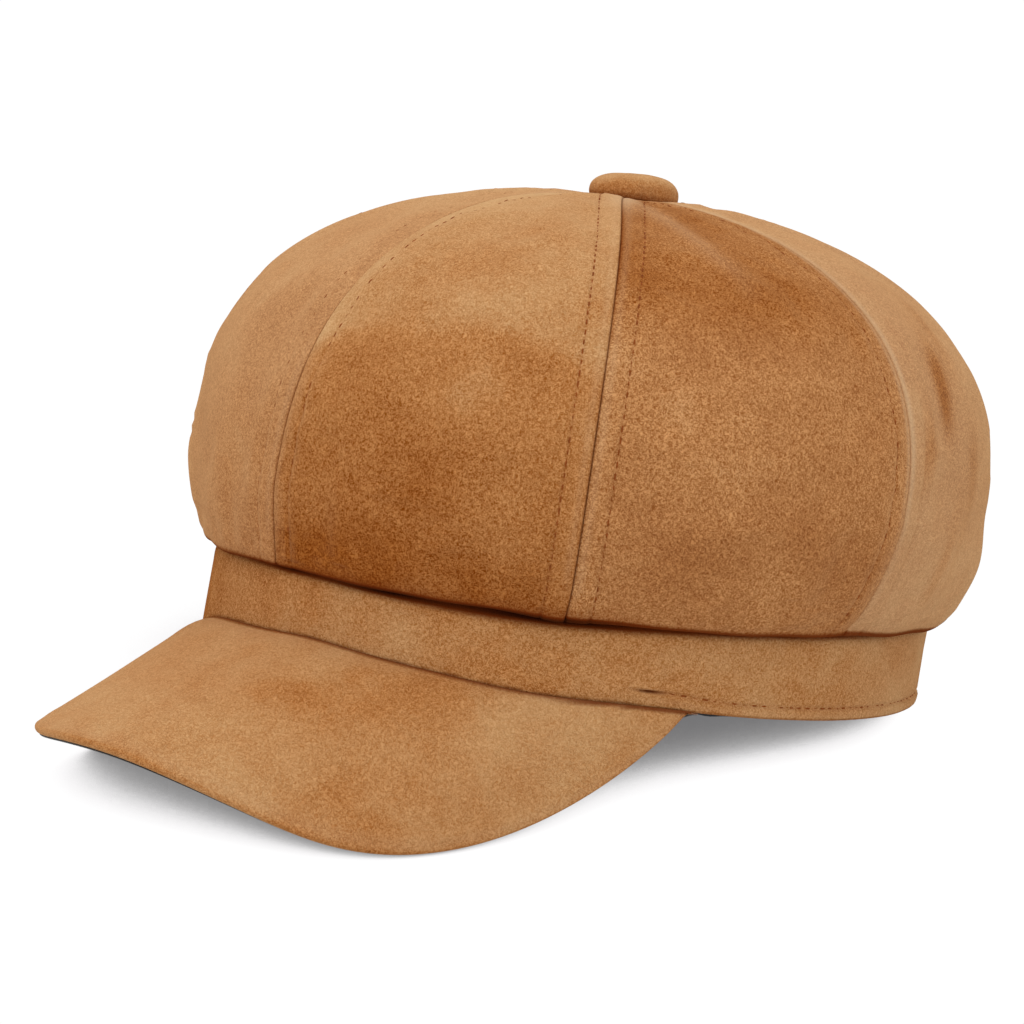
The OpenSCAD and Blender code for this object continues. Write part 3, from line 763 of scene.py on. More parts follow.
def crown_tone_and_shade(angle, z, seam, gore, high):
    """Light and dark of the laid-over nap by gore, with painted light and shade: several gores are paler
    high up and darker low down.
    """
    side = signed(angle)
    tone_and_shade = (0.045 * waves(31 + gore, 7, 2, 9)(angle, z / 14.0)
            + 0.03 * waves(131 + gore, 7, 6, 20)(angle, z / 7.0))
    if gore == 0:
        # pale above an arched line and darker at the foot, partly painted light from above and painted shade
        # over the roll; paler along both seams
        arch = 81.5 - 0.016 * (side - 24) ** 2 + 1.4 * waves(7, 5, 6, 24)(angle, 0 * z)
        above = edge(z - arch, 4.5)
        tone_and_shade = tone_and_shade + 0.22 * above - 0.10 * (1 - above) - 0.15 * edge(56 - z, 14)
        tone_and_shade = tone_and_shade + 0.10 * bell(side, 30, 9) * bell(z, 68, 9) - 0.14 * edge(31 - z, 6)
        tone_and_shade = tone_and_shade + 0.14 * bell(seam, 0, 6.5) * high * (1 - above) * edge(70 - z, 20)
        tone_and_shade = tone_and_shade + 0.14 * bell(seam, 0, 5) * (1 - high)
    elif gore == 1:
        # dark towards the top, with a pale patch and a pale low-angle seam
        tone_and_shade = tone_and_shade - 0.06 - 0.20 * edge(z - 90, 12) - 0.08 * bell(z, 40, 7)
        tone_and_shade = tone_and_shade - 0.10 * bell(side, 66, 8) * edge(z - 88, 10)
        tone_and_shade = tone_and_shade + 0.08 * bell(side, 57, 8) * bell(z, 70, 14)
        tone_and_shade = tone_and_shade + 0.16 * bell(seam, 0, 7) * (1 - high) * edge(75 - z, 20)
    elif gore == 2:
        tone_and_shade = tone_and_shade + 0.02 - 0.26 * streaks(side, z) + 0.08 * edge(52 - z, 10)
        tone_and_shade = tone_and_shade + 0.12 * bell(side, 93, 3) * edge(z - 60, 10)
    elif gore == 3:
        tone_and_shade = tone_and_shade + 0.20 * edge(z - (70 + 0.012 * (side - 158) ** 2), 7) - 0.08
    elif gore == 4:
        tone_and_shade = tone_and_shade - 0.08 - 0.10 * edge(60 - z, 20)
    elif gore == 5:
        tone_and_shade = tone_and_shade + 0.26 * edge(z - (84 - 0.014 * (side + 112) ** 2), 6) - 0.10
    elif gore == 6:
        tone_and_shade = tone_and_shade - 0.02 + 0.10 * edge(z - 60, 20)
    else:
        tone_and_shade = tone_and_shade + 0.02 + 0.12 * bell(seam, 0, 16) * high * edge(z - 80, 6)
    return tone_and_shade


def crown_painted_sheen(side, z, gore):
    """How far the nap is painted pale as sheen, and its extra painted sheen at glancing angles."""
    sheen_pale = GORE_SHEEN_PALE[gore] + 0 * z
    painted_sheen = GORE_PAINTED_SHEEN[gore] + 0 * z
    if gore == 1:
        sheen_pale = sheen_pale * (1 - ease((z - 84) / 14))
        painted_sheen = painted_sheen - 0.45 * ease((z - 88) / 14)
    elif gore == 2:
        sheen_pale = sheen_pale * (1 - 0.9 * np.clip(streaks(side, z), 0, 1))
    elif gore == 7:
        sheen_pale = sheen_pale * (0.6 + 0.4 * ease((z - 40) / 30))
    return sheen_pale, painted_sheen


def crown_seam_dark_and_shade(side, seam, run, to_roll, radius, z, high, crisp):
    """Darkness of the seams and the stitch lines, with painted shade in the seams' valleys and painted
    shadow in the gap under the roll.
    """
    patchy = 0.85 + 0.35 * waves(151, 9, 6, 40)(0.0 * seam, run / 12.0)
    # high on the crown, a gore's lower-angle half gets a wider soft painted shade beside its seam
    low_side = bell(seam, 0, 0.34) * 0.62 + 0.26 * bell(seam, 0, 1.2) * ease((z - 90) / 10)
    deep = np.where(high > 0, bell(seam, 0, 0.26) * 0.60, low_side) * patchy
    stitch = 0.15 * bell(seam, STITCH_SEAM, 0.4) * clear_of_button(radius)
    # painted shadow above the roll and on its turned-under side, deepest where the roll stands away
    gap = bell(side, 18, 14) + bell(side, 43, 10)
    return ((deep + stitch) * crisp * ease((to_roll + 4) / 4)
            + (0.10 + 0.34 * gap) * np.exp(-np.clip(to_roll, 0, None) / 1.5)
            + (0.85 + 0.5 * gap) * ease((-to_roll - 0.1) / 1.4))


def crown_wear_and_highlight(side, seam, to_roll, radius, z, nearest, crisp):
    """Paler nap by the button, along the seams and on the folds: partly wear, partly painted highlight on
    the welts and the folds' ridges. nearest: number of the seam.
    """
    by_button = (np.where(nearest == 1, 0.95, 0.45)
                 * bell(radius, 26, 15) * bell(seam, 0, 4.0))
    along = 0.14 * bell(seam, 1.6, 0.9) * np.clip((radius - 10) / 30, 0, 1) * crisp
    return ((by_button + along) * ease((to_roll - 3) / 8)
            + 0.45 * bell(seam, 1.0, 0.8) * (nearest == 2) * ease((z - 40) / 30)
            + 0.55 * fold_relief(side, radius, narrow=0.8, fading=0.6))


def slack_from_cloth(cap=0.5):
    """Cloth simulation of the crown, held at its seams, button and roll and lightly inflated.
    Gives how far the cloth stands out of the even shape, in mm, by profile row and degree."""
    full = np.zeros((len(TABLE), 360))
    cols = np.arange(0, 360, 2.5)
    first = int(np.argmax(TABLE[:, 22, 0] > 13.0))
    rows = np.unique(np.append(np.arange(first, ROLL_ROW, 2), ROLL_ROW))
    count = len(rows)
    even = at_angle(TABLE[rows], cols[None, :] + np.zeros((count, 1)))
    points = around(cols[None, :] + 0 * even[..., 0], even[..., 0], even[..., 1],
                    even[..., 2] * BUTTON_Y)
    normals = outward_normals(points, wrap=True)
    obj = new_object("cloth_being_relaxed", points.reshape(-1, 3) / 1000,
                     grid_faces(count, len(cols), wrap=True).tolist())
    seam = np.abs((cols + GORE / 2) % GORE - GORE / 2)           # degrees from the seam
    held = np.where(seam < 0.1, 1.0, np.where(seam < 2.6, 0.25, 0.0)) + np.zeros((count, 1))
    held[:2] = held[-2:] = 1.0
    group = obj.vertex_groups.new(name="sewn")
    for weight in (1.0, 0.25):
        group.add(np.where(held.ravel() == weight)[0].tolist(), weight, "REPLACE")
    cloth = obj.modifiers.new("cloth", "CLOTH")
    for key, value in dict(
            quality=6, mass=0.2, tension_stiffness=14, compression_stiffness=14,
            shear_stiffness=5, bending_stiffness=0.35, vertex_group_mass="sewn",
            use_pressure=True, uniform_pressure_force=1.6, shrink_min=-0.016).items():
        setattr(cloth.settings, key, value)
    cloth.settings.effector_weights.gravity = 0
    cloth.collision_settings.use_collision = False
    cloth.point_cache.frame_start, cloth.point_cache.frame_end = 1, 24
    for f in range(1, 25):
        SCENE.frame_set(f)
    relaxed = obj.evaluated_get(bpy.context.evaluated_depsgraph_get())
    coords = np.empty(len(relaxed.data.vertices) * 3)
    relaxed.data.vertices.foreach_get("co", coords)
    SCENE.frame_set(1)
    mesh = obj.data
    bpy.data.objects.remove(obj)
    bpy.data.meshes.remove(mesh)
    slack = ((coords.reshape(points.shape) * 1000 - points) * normals).sum(-1)
    # the even fullness of each gore is already in the shape: keep what is left of the folds
    fullness = np.sin(np.pi / 2 * seam / (GORE / 2)) ** 0.8
    for k in range(GORES):
        own = (cols >= GORE * k) & (cols < GORE * (k + 1))
        share = (slack[:, own] * fullness[own]).sum(1) / (fullness[own] ** 2).sum()
        share = np.convolve(np.pad(share, 4, mode="edge"), np.ones(9) / 9, "valid")
        slack[:, own] -= share[:, None] * fullness[own]
    i = np.arange(count)[:, None]
    slack = cap * np.tanh(slack / cap) * ease(i / 6.0) * ease((count - 1 - i) / 4.0)
    ring = np.append(cols, 360)
    wide = np.stack([np.interp(np.arange(360), ring, np.append(q, q[0])) for q in slack])
    for j in range(360):
        full[:, j] = np.interp(np.arange(len(TABLE)), rows, wide[:, j], left=0, right=0)
    return full


def crown_gore(gore, slack):
    """Everything known about one gore's cloth, as arrays (rows, cols)."""
    angle, seam, half = gore_columns(gore)
    cols = angle.shape[1]
    high = (np.arange(cols) >= cols // 2)[None, :] * 1.0
    profile = at_angle(TABLE, angle)
    radius, z = profile[..., 0], profile[..., 1]
    rows = np.arange(len(TABLE))[:, None]
    wander = (seam_wave(gore, high, rows / 13.0) * 0.35 * bell(seam, 0, 14)
              * ease((radius - 12) / 10))
    # the gores twist round the button
    turned = angle - 18 * np.exp(-radius / 26.6) + np.degrees(wander / radius)
    base = around(turned, radius, z, profile[..., 2] * BUTTON_Y)
    steps = np.linalg.norm(np.diff(base[:, cols // 2], axis=0), axis=-1)
    run = np.concatenate([[0], np.cumsum(steps)])[:, None]
    to_roll = run[ROLL_ROW] - run
    normals = outward_normals(base)
    lift = crown_relief(angle, seam, half, run, radius, z, gore, high)
    # relief fades out inside the turned edge
    lift = (lift * ease((to_roll + 6) / 8) + edge_gathers(angle, to_roll)
            + at_angle(slack[..., None], angle)[..., 0] * ease(seam / 5.0))
    side = signed(angle)
    crisp = crispness(gore, high, z)
    seam_dark_and_shade = crown_seam_dark_and_shade(side, seam, run, to_roll, radius, z, high, crisp)
    wear_and_highlight = crown_wear_and_highlight(side, seam, to_roll, radius, z, (gore + high) % GORES, crisp)
    sheen_pale, painted_sheen = crown_painted_sheen(side, z, gore)
    return SimpleNamespace(
        seam=seam, half=half, base=base, normals=normals, radius=radius, to_roll=to_roll,
        points=base + normals * lift[..., None],
        attributes={"seam_dark_and_shade": seam_dark_and_shade, "wear_and_highlight": wear_and_highlight + sheen_pale * (1 - seam_dark_and_shade).clip(0, 1),
                    "tone_and_shade": crown_tone_and_shade(angle, z, seam, gore, high), "painted_sheen": painted_sheen})


# The crown's panels in order of angle
PANELS = [f"crown_panel_{place}" for place in (
    "front_left", "side_front_left", "side_rear_left", "rear_left",
    "rear_right", "side_rear_right", "side_front_right", "front_right")]


def build_crown(gores):
    materials = [nap_material(f"nap_crown_{k}", seed=0.37 * k + 0.1, grain=1.4 if k == 1 else 1.0)
                 for k in range(GORES)]
    rows = np.arange(len(TABLE))[:, None]
    thickness = 1.15 * (1 - 0.45 * ease((rows - (ROLL_ROW - 4)) / 6.0))
    for gore, name, material in zip(gores, PANELS, materials):
        depth = np.minimum(belly(gore.seam, gore.half) - 0.4, 0.3) - thickness
        inner = gore.base + gore.normals * depth[..., None]
        too_thin = np.linalg.norm(gore.points - inner, axis=-1) < 0.25
        inner = np.where(too_thin[..., None], gore.points - gore.normals * 0.3, inner)
        obj = sheet(name + "_cloth", gore.points, inner, gore.attributes)
        fit(obj, material, name, pressed=True)


# ------------------------------------------------------------------ thread
STITCH_SIDES = 6
# along a stitch: share of its length, share of its radius
STITCH_STATIONS = np.array([0, 0.08, 0.25, 0.5, 0.75, 0.92, 1.0])
STITCH_TAPER = np.array([0.45, 0.8, 1, 1.05, 1, 0.8, 0.45])


def stitch_mesh(path, normals, seed, bury, length=1.95, pitch=STITCH_PITCH, radius=0.19,
                sink=0.26):
    """Stitches along a path, as separate capsules of thread whose ends dive into the cloth."""
    steps = np.linalg.norm(np.diff(path, axis=0), axis=1)
    run = np.concatenate([[0], np.cumsum(steps)])
    verts, faces = [], []
    sides, stations = STITCH_SIDES, STITCH_STATIONS
    last = (len(stations) - 1) * sides
    rnd = np.random.RandomState(seed)
    for q in range(int((run[-1] - length) / pitch)):
        start = q * pitch + 0.3 + rnd.uniform(-0.12, 0.12)
        base = len(verts)
        at = start + stations * length * rnd.uniform(0.86, 1.08)
        centre = np.stack([np.interp(at, run, path[:, k]) for k in range(3)], -1)
        normal = np.stack([np.interp(at, run, normals[:, k]) for k in range(3)], -1)
        normal /= np.linalg.norm(normal, axis=1, keepdims=True)
        along = np.gradient(centre, axis=0)
        along /= np.linalg.norm(along, axis=1, keepdims=True)
        across = np.cross(along, normal)
        dive = sink * (2 * np.abs(stations - 0.5)) ** 3
        lift = radius * rnd.uniform(-0.55, 0.5) - bury - dive
        centre = centre + across * rnd.uniform(-0.07, 0.07)
        size = radius * STITCH_TAPER
        for i in range(len(stations)):
            for j in range(sides):
                turn = 2 * np.pi * j / sides
                verts.append(centre[i] + normal[i] * (lift[i] + size[i] * math.cos(turn))
                             + across[i] * size[i] * math.sin(turn) * 1.15)
        faces += grid_faces(len(stations), sides, base, wrap=True)[:, [0, 3, 2, 1]].tolist()
        faces.append([base + j for j in range(sides)])
        faces.append([base + last + j for j in range(sides - 1, -1, -1)])
    return verts, faces


# How deep the nap hides the thread at each seam: on its higher-angle side, on its lower
BURY = [(0.18, 0.08), (0.0, 0.0), (0.04, 0.26), (0.04, 0.08),
        (0.06, 0.0), (0.02, 0.1), (0.06, 0.02), (0.0, 0.08)]


def build_crown_stitches(gores):
    verts, faces = [], []
    for k, gore in enumerate(gores):
        rows = np.where((gore.radius[:, 0] > 14.5) & (gore.to_roll[:, 0] > -2.0))[0]
        half_cols = gore.seam.shape[1] // 2 + 1
        for flip in (0, 1):
            order = slice(None, None, -1 if flip else 1)

            def on_line(field):
                """A field of 3-vectors followed down the stitch line."""
                return np.array([
                    [np.interp(STITCH_SEAM, gore.seam[i][order][:half_cols],
                               field[i][order][:half_cols, c]) for c in range(3)]
                    for i in rows])

            more_verts, more_faces = stitch_mesh(
                on_line(gore.points), on_line(gore.normals), seed=200 + 2 * k + flip,
                bury=BURY[(k + flip) % GORES][1 - flip])
            faces += [[q + len(verts) for q in face] for face in more_faces]
            verts += more_verts
    obj = new_object("crown_topstitch_thread", settled(verts), faces)
    fit(obj, THREAD, "crown_topstitch", pressed=True)


# ------------------------------------------------------------------ lining
LINING_GAP = 4.6                         # inside the crown's surface
LINING_FOOT = 3.4                        # inside the band's oval


def build_lining():
    satin = weave_material("black_satin", (0.012, 0.012, 0.014, 1), scale=1400, rough=0.38,
                           sheen=0.1, specular=0.45)
    foot_r = band_radius(DEGREES) - LINING_FOOT
    foot_z = edge_top(DEGREES) + 2.4
    parts = dome(crown_radius(DEGREES) - LINING_GAP, CROWN_H - LINING_GAP, apex=3.4,
                 foot_r=foot_r, foot_z=foot_z, counts=(200, 160), crowding=1.0)
    share = np.linspace(0, 1, 8)[:, None]
    none = 0 * share + 0 * DEGREES
    parts.append(np.stack([foot_r + none, foot_z + (BAND_H + 1 - foot_z) * share, none], -1))
    table = joined(parts, (42, 26, 4))
    across = np.linspace(0, 1, 25)[None, :]
    down = np.linspace(0, 1, len(table))[:, None]
    for k, panel in enumerate(PANELS):
        name = panel.replace("crown_panel", "lining_panel")
        angle = GORE * k + 0.1 + (GORE - 0.2) * across + 0 * down
        profile = at_angle(table, angle)
        radius = profile[..., 0]
        base = around(angle, radius, profile[..., 1], profile[..., 2] * BUTTON_Y)
        normals = outward_normals(base)
        seam = radius * np.radians(GORE / 2) * (1 - np.abs(2 * across - 1))
        size = np.clip(radius / 60, 0, 1)
        lift = 0.5 * bell(seam, 0, 1.2) - 0.6 * size * np.sin(np.pi * across)
        lift = lift + 0.35 * size * waves(61 + k, 8, 6, 26)(angle, down * 9)
        lift = np.clip(lift * ease((1 - down) * 10), -3.0, 0.9)
        points = base + normals * lift[..., None]
        obj = sheet(name + "_satin", points, points - normals * 0.35,
                    {"seam_dark_and_shade": bell(seam, 0, 0.7)})
        fit(obj, satin, name, pressed=True)


# ------------------------------------------------------------------ band
VISOR_SPREAD = 66.1                      # half spread of the visor around the seam, degrees
SLIT_ANGLE, SLIT_Z = 58.2, 3.1           # where the hem's fold opens, above the visor's left end


def band_surface(angle, z):
    """Radius of the band's outer face."""
    bulge = (0.15 * np.sin(np.pi * np.clip(z / BAND_H, 0, 1))
             + 0.15 * waves(41, 8, 3, 14)(angle, z / 14.0) * ease(z / 6))
    tuck = 0.9 + 0.5 * bell(signed(angle), 34, 26)
    return band_radius(angle) + bulge - tuck * ease((z - (roll_z(angle) - 4.5)) / 4.0)


def hem_line(side):
    """Height of the hem's stitching."""
    return 3.0 + 0.9 * bell(np.abs(side), VISOR_SPREAD - 6, 7)


def build_band():
    angle = np.arange(0, 360, 0.5)[None, :]
    side = signed(angle)
    z = np.concatenate([np.linspace(BAND_H, 7.6, 30), np.linspace(7.4, 0.8, 40)])[:, None]
    outer = len(z)
    # the hem is sewn only behind the visor
    hem_z = hem_line(side)
    hemmed = ease((np.abs(side) - (VISOR_SPREAD - 11)) / 4)
    stitched = -0.30 * bell(z, hem_z, 0.5) * hemmed
    welt = 0.48 * ease((hem_z - z) / 0.7) * ease((z + 0.5) / 1.5) * hemmed
    gather = 0.05 * waves(47, 8, 60, 150)(angle, z / 4.0) * bell(z, hem_z, 2.2) * hemmed
    slit = -1.1 * bell(z, SLIT_Z + 0.9, 0.32) * bell(side, SLIT_ANGLE, 2.0)
    lip = 0.35 * bell(z, SLIT_Z + 1.8, 0.9) * bell(side, SLIT_ANGLE - 0.5, 4)
    face_r = band_surface(angle, z) + stitched + welt + gather + slit + lip
    # the fold at the hem, then the inside
    turn = np.linspace(0, np.pi, 9)[1:, None]
    fold = 0.75
    inside_z = np.linspace(1.5, BAND_H, 10)[:, None]
    radius = np.concatenate([face_r, face_r[-1:] - fold + fold * np.cos(turn),
                             band_radius(angle) - 1.35 + 0 * inside_z])
    all_z = np.concatenate([z, 0.8 - fold * np.sin(turn), inside_z]) + 0 * angle

    seam_dark_and_shade = np.zeros_like(radius)
    face = seam_dark_and_shade[:outer]
    # darker along the hem's stitching, and painted shade in the slit where its fold opens
    face += 0.10 * bell(z, hem_z, 0.35) * hemmed
    face += 0.95 * bell(z, SLIT_Z + 0.9, 0.26) * bell(side, SLIT_ANGLE, 1.7)
    # shadow under the crown's roll, deepest where the roll stands away
    wide = bell(side, 34, 26)
    roll = roll_z(angle)
    face += (0.80 + 0.2 * wide) * ease((z - (roll - 3.3 - 1.7 * wide)) / (1.5 + 0.8 * wide))
    gap = 0.25 + 0.60 * bell(side, 1, 4) + 0.80 * bell(side, 18, 6) + 0.85 * bell(side, 43, 10)
    face += gap * ease((z - (roll - 2.9 - 0.5 * wide)) / 1.1)
    # shadow in the corner with the visor
    patchy = 0.8 + 0.5 * waves(153, 9, 20, 90)(angle, 0 * z)
    face += 0.62 * bell(np.clip(z - 0.5, 0, None), 0, 0.5) * (1 - hemmed) * patchy
    # painted shade under the hem's fold
    seam_dark_and_shade[outer:outer + len(turn)] += 0.35
    wear_and_highlight = 0 * seam_dark_and_shade
    # paler along the raised hem strip: wear and painted highlight
    wear_and_highlight[:outer] = 0.10 * bell(z, hem_z - 1.9, 0.8) * hemmed
    # random tone, with painted shade darkening the band's top at the front, under the crown's roll
    tone_and_shade = (0.04 * waves(43, 6, 2, 9)(angle, all_z / 12)
            + 0.03 * waves(44, 8, 12, 40)(angle, all_z / 8)
            - 0.12 * ease((all_z - 12) / 8) * (1 - ease((np.abs(side) - 60) / 30))
            - 0.26 * bell(side, -30, 17) + 0.06 + 0.07 * ease((side - 20) / 20))
    # less painted sheen towards the right front
    painted_sheen = -1.0 * bell(side, -30, 30) + 0 * seam_dark_and_shade

    rows, cols = radius.shape
    faces = np.concatenate([grid_faces(rows, cols, wrap=True),
                            np.roll(closing_faces(rows, cols, True), 1, axis=1)])
    obj = closed_object("outer_band_cloth", settled(around(angle + 0 * radius, radius, all_z)),
                        faces.tolist(),
                        {"seam_dark_and_shade": seam_dark_and_shade, "wear_and_highlight": wear_and_highlight, "tone_and_shade": tone_and_shade, "painted_sheen": painted_sheen})
    fit(obj, nap_material("nap_band", seed=3.1), "outer_band")


def build_hem_stitches():
    """From one end of the visor round the nape to the other."""
    start = VISOR_SPREAD - 5
    angle = np.linspace(start, 360 - start, 900)
    z = hem_line(signed(angle))
    path = around(angle, band_surface(angle, z) - 0.22, z)
    normals = around(angle, np.ones_like(angle), 0 * angle)
    verts, faces = stitch_mesh(path, normals, seed=300, bury=0.15, length=2.0, pitch=2.8)
    obj = new_object("hem_topstitch_thread", settled(verts), faces)
    fit(obj, THREAD, "hem_topstitch")


def band_ring(name, node, inset, thickness, z_low, z_high, wobble, seed, material, dips=()):
    """A cloth ring inside the band with rounded edges. dips in its lower edge are (angle, width,
    depth)."""
    half = thickness / 2
    z = np.linspace(z_low + half, z_high - half, 14)[:, None]
    ripple = wobble * waves(seed, 8, 4, 18)(DEGREES, z / 15)
    middle = band_radius(DEGREES) - inset - half
    turn = np.linspace(0, np.pi, 7)[1:-1, None]
    radius = np.concatenate([
        middle + half + ripple[::-1], middle + half * np.cos(turn) + ripple[:1],
        middle - half + ripple, middle - half * np.cos(turn) + ripple[-1:]])
    z = np.concatenate([z[::-1], z_low + half - half * np.sin(turn),
                        z, z_high - half + half * np.sin(turn)]) + 0 * DEGREES
    for centre, width, depth in dips:
        z = z - depth * bell(signed(DEGREES), centre, width) * (1 - ease((z - z_low) / 8))
    rows, cols = radius.shape
    faces = np.concatenate([grid_faces(rows, cols, wrap=True), closing_faces(rows, cols, True)])
    points = around(DEGREES + 0 * radius, radius, z)
    obj = closed_object(name, settled(points), faces.tolist())
    fit(obj, material, node)


# ------------------------------------------------------------------ visor
VISOR_LEN = 59.1                         # at the front
VISOR_TUCK = 2.6                         # how far the top cloth goes in past the seam


def visor_length(angle):
    return VISOR_LEN * np.clip(1 - (np.abs(angle) / VISOR_SPREAD) ** 6, 0, None) ** (1 / 0.9)


def visor_direction(angle):
    """Unit vector outward along the visor, steeper towards its ends."""
    share = angle / VISOR_SPREAD
    pitch = np.radians(25.8 + 46.4 * share * share)
    swing = np.radians(-0.23 * angle)
    return np.stack([np.cos(pitch) * np.sin(swing), -np.cos(pitch) * np.cos(swing),
                     -np.sin(pitch)], -1)


def visor_seam(angle):
    turn = np.radians(angle)
    return np.stack([(BAND_X + 1.4) * np.sin(turn), -(BAND_Y + 1.4) * np.cos(turn), 0 * turn], -1)


def visor_points(angle, out, height):
    """Points at a distance out along the lines at the angles, and a height above the middle
    surface. angle: (1, cols); out, height: (rows, cols)."""
    share = out / np.maximum(visor_length(angle), 0.05)
    angle = angle + 0 * out
    direction = visor_direction(angle)

    def middle(at):
        return visor_seam(at) + (share * visor_length(at))[..., None] * visor_direction(at)

    step = 0.2
    normal = np.cross(middle(angle + step) - middle(angle - step), direction)
    normal /= np.linalg.norm(normal, axis=-1, keepdims=True) + 1e-12
    normal = np.where((normal[..., 2] < 0)[..., None], -normal, normal)
    level = direction * np.array([1, 1, 0])
    level /= np.linalg.norm(level, axis=-1, keepdims=True)
    # inside the seam it runs level
    up = np.array([0, 0, 1])
    inside = ease(-out / 0.8)[..., None]
    normal = normal * (1 - inside) + up * inside
    lift = bells(angle, VISOR_LIFTS, 13) * np.clip(out / VISOR_LEN, 0, 1) ** 1.5
    return (visor_seam(angle) + np.maximum(out, 0)[..., None] * direction
            + np.minimum(out, 0)[..., None] * level + height[..., None] * normal
            + lift[..., None] * up)


def visor_piece(name, node, section, material, cols=150, full=0.992, depth=0.0):
    """A layer of the visor. section(length, angle) gives the closed loop across it as distances
    out and heights (rows, cols), and its attributes. depth: below the top cloth, in metres."""
    u = np.linspace(-1, 1, cols)
    u = np.sign(u) * (1 - (1 - np.abs(u)) ** 1.35)
    angle = (VISOR_SPREAD * full * u)[None, :]
    length = np.maximum(visor_length(angle) - bells(angle, VISOR_TRIMS, 11), 0.05)
    out, height, attributes = section(length, angle)
    rows = len(out)
    faces = np.concatenate([grid_faces(rows, cols), closing_faces(rows, cols, False)]).tolist()
    faces.append([i * cols for i in range(rows)])
    faces.append([i * cols + cols - 1 for i in range(rows - 1, -1, -1)])
    points = visor_points(angle, out, height)
    obj = closed_object(name, settled(points), faces, attributes)
    fit(obj, material, node, rider=None)
    # each layer's bend starts as far below the hem as the layer lies under the top cloth, so
    # that they turn together
    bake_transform(obj, "band", "visor", start=tuple(-UP_BAND * depth),
             end=tuple(-UP_BAND * (depth + 0.012)))


def thin_ends(length):
    """Thins the cloth on the short lines at the visor's ends."""
    return np.clip(length / 6.0, 0.22, 1)


def visor_top_section(length, angle):
    """The top cloth, wrapped round the edge with a short lip beneath."""
    share = np.linspace(0, 1, 34)[:, None]
    edge_r = 1.1
    top = -VISOR_TUCK + (length - edge_r + VISOR_TUCK) * share
    from_edge = length - top
    uneven = waves(81, 8, 3, 12)(angle * 2.2, top / 16.0)
    top_h = 1.1 + 0.22 * uneven * ease((top - 2) / 8) * ease(from_edge / 6)
    top_h = top_h - 0.62 * bell(np.clip(top, 0, None), 0, 2.6) + 0.15 * bell(top, 7.0, 3.0)
    top_h = top_h + 0.12 * bell(from_edge, 5.5, 2.0)
    turn = np.radians(np.linspace(90, -60, 11)[1:, None])
    wrap = length - edge_r + edge_r * np.cos(turn)
    lip = length - np.array([1.5, 2.5])[:, None]
    outer = np.concatenate([top, wrap, lip])
    outer_h = np.concatenate([top_h, edge_r * np.sin(turn) + 0 * length,
                              np.array([-1.0, -1.02])[:, None] + 0 * length])
    hollow = length - np.array([2.5, 1.5, 0.85, 0.6, 0.8, 1.3])[:, None]
    hollow_h = np.array([-0.66, -0.6, -0.35, 0.0, 0.4, 0.6])[:, None] + 0 * length
    back = (-VISOR_TUCK + (length - 1.6 + VISOR_TUCK) * share)[::-1]
    back_h = 0.62 - 0.80 * bell(np.clip(back, 0, None), 0, 2.6)
    inner = np.concatenate([hollow, back])
    height = np.concatenate([outer_h, hollow_h, back_h]) * thin_ends(length)
    # never past the tuck on the short lines at the ends
    out = np.maximum(np.concatenate([outer, inner]), -VISOR_TUCK)

    # dark seam line with painted shade where the top cloth meets the band
    seam_dark_and_shade = np.concatenate([1 - ease(outer / 0.8), 0 * inner]) * 0.85
    unmarked_rows = np.zeros((len(out) - len(top), top.shape[1]))
    # paler a little way in from the edge
    wear_and_highlight = np.concatenate([0.12 * bell(from_edge, 3.0, 2.0), unmarked_rows])
    tone_and_shade = (0.035 * waves(83, 6, 2, 9)(angle * 1.7, top / 18.0)
            + 0.025 * waves(84, 8, 6, 24)(angle * 1.7, top / 8.0)
            - 0.10 * bell(from_edge, 0, 3.0) - 0.14 * bell(angle, 18, 4) * bell(top, 22, 5)
            - 0.12 * ease((-22 - angle) / 20) + 0.04 * ease((angle - 30) / 20))
    # painted shade: darker where the cloth wraps round the edge and darker still on the lip beneath
    tone_and_shade = np.concatenate([tone_and_shade, 0 * wrap - 0.12, 0 * lip - 0.25, 0 * inner])
    # less painted sheen towards the right end
    painted_sheen = -0.25 * ease((-15 - angle) / 20) + 0 * out
    return out, height, {"seam_dark_and_shade": seam_dark_and_shade, "wear_and_highlight": wear_and_highlight, "tone_and_shade": tone_and_shade, "painted_sheen": painted_sheen}


def visor_board_section(length, angle):
    """The stiff board, 1 mm thick with a rounded outer edge."""
    start = 3.6
    end = np.maximum(length - 1.2, start + 0.05)
    flat = start + (end - start) * np.linspace(0, 1, 16)[:, None]
    turn = np.radians(np.linspace(90, -90, 7))[1:-1, None]
    out = np.concatenate([flat, end + 0.25 * np.cos(turn), flat[::-1]])
    height = np.concatenate([0.5 + 0 * flat, 0.5 * np.sin(turn) + 0 * length, -0.5 + 0 * flat])
    return out, height, {"tone_and_shade": 0 * out}


def visor_under_section(length, angle):
    """The under cloth, pressed thin where it meets the top cloth's lip."""
    end = np.maximum(length - 0.52, -2.3)
    flat = -2.4 + (end + 2.4) * np.linspace(0, 1, 26)[:, None]
    from_edge = length - flat
    uneven = 0.08 * waves(85, 7, 3, 14)(angle * 2.0, flat / 14.0) * ease(from_edge / 6)
    lip = bell(from_edge, 0, 2.4) * 0.28
    upper = (-0.62 - 0.44 * ease((flat - (length - 3.2)) / 1.0)
             - 0.25 * bell(np.clip(flat, 0, None), 0, 2.0))
    lower = -1.25 + uneven - 0.75 * lip
    turn = np.radians(np.linspace(90, -90, 6))[1:-1, None]
    middle, half = (upper[-1] + lower[-1]) / 2, (upper[-1] - lower[-1]) / 2
    out = np.concatenate([flat, end + 0.18 * np.cos(turn), flat[::-1]])
    height = np.concatenate([upper, middle + half * np.sin(turn), lower[::-1]])
    return out, height * thin_ends(length), {"seam_dark_and_shade": 0 * out}


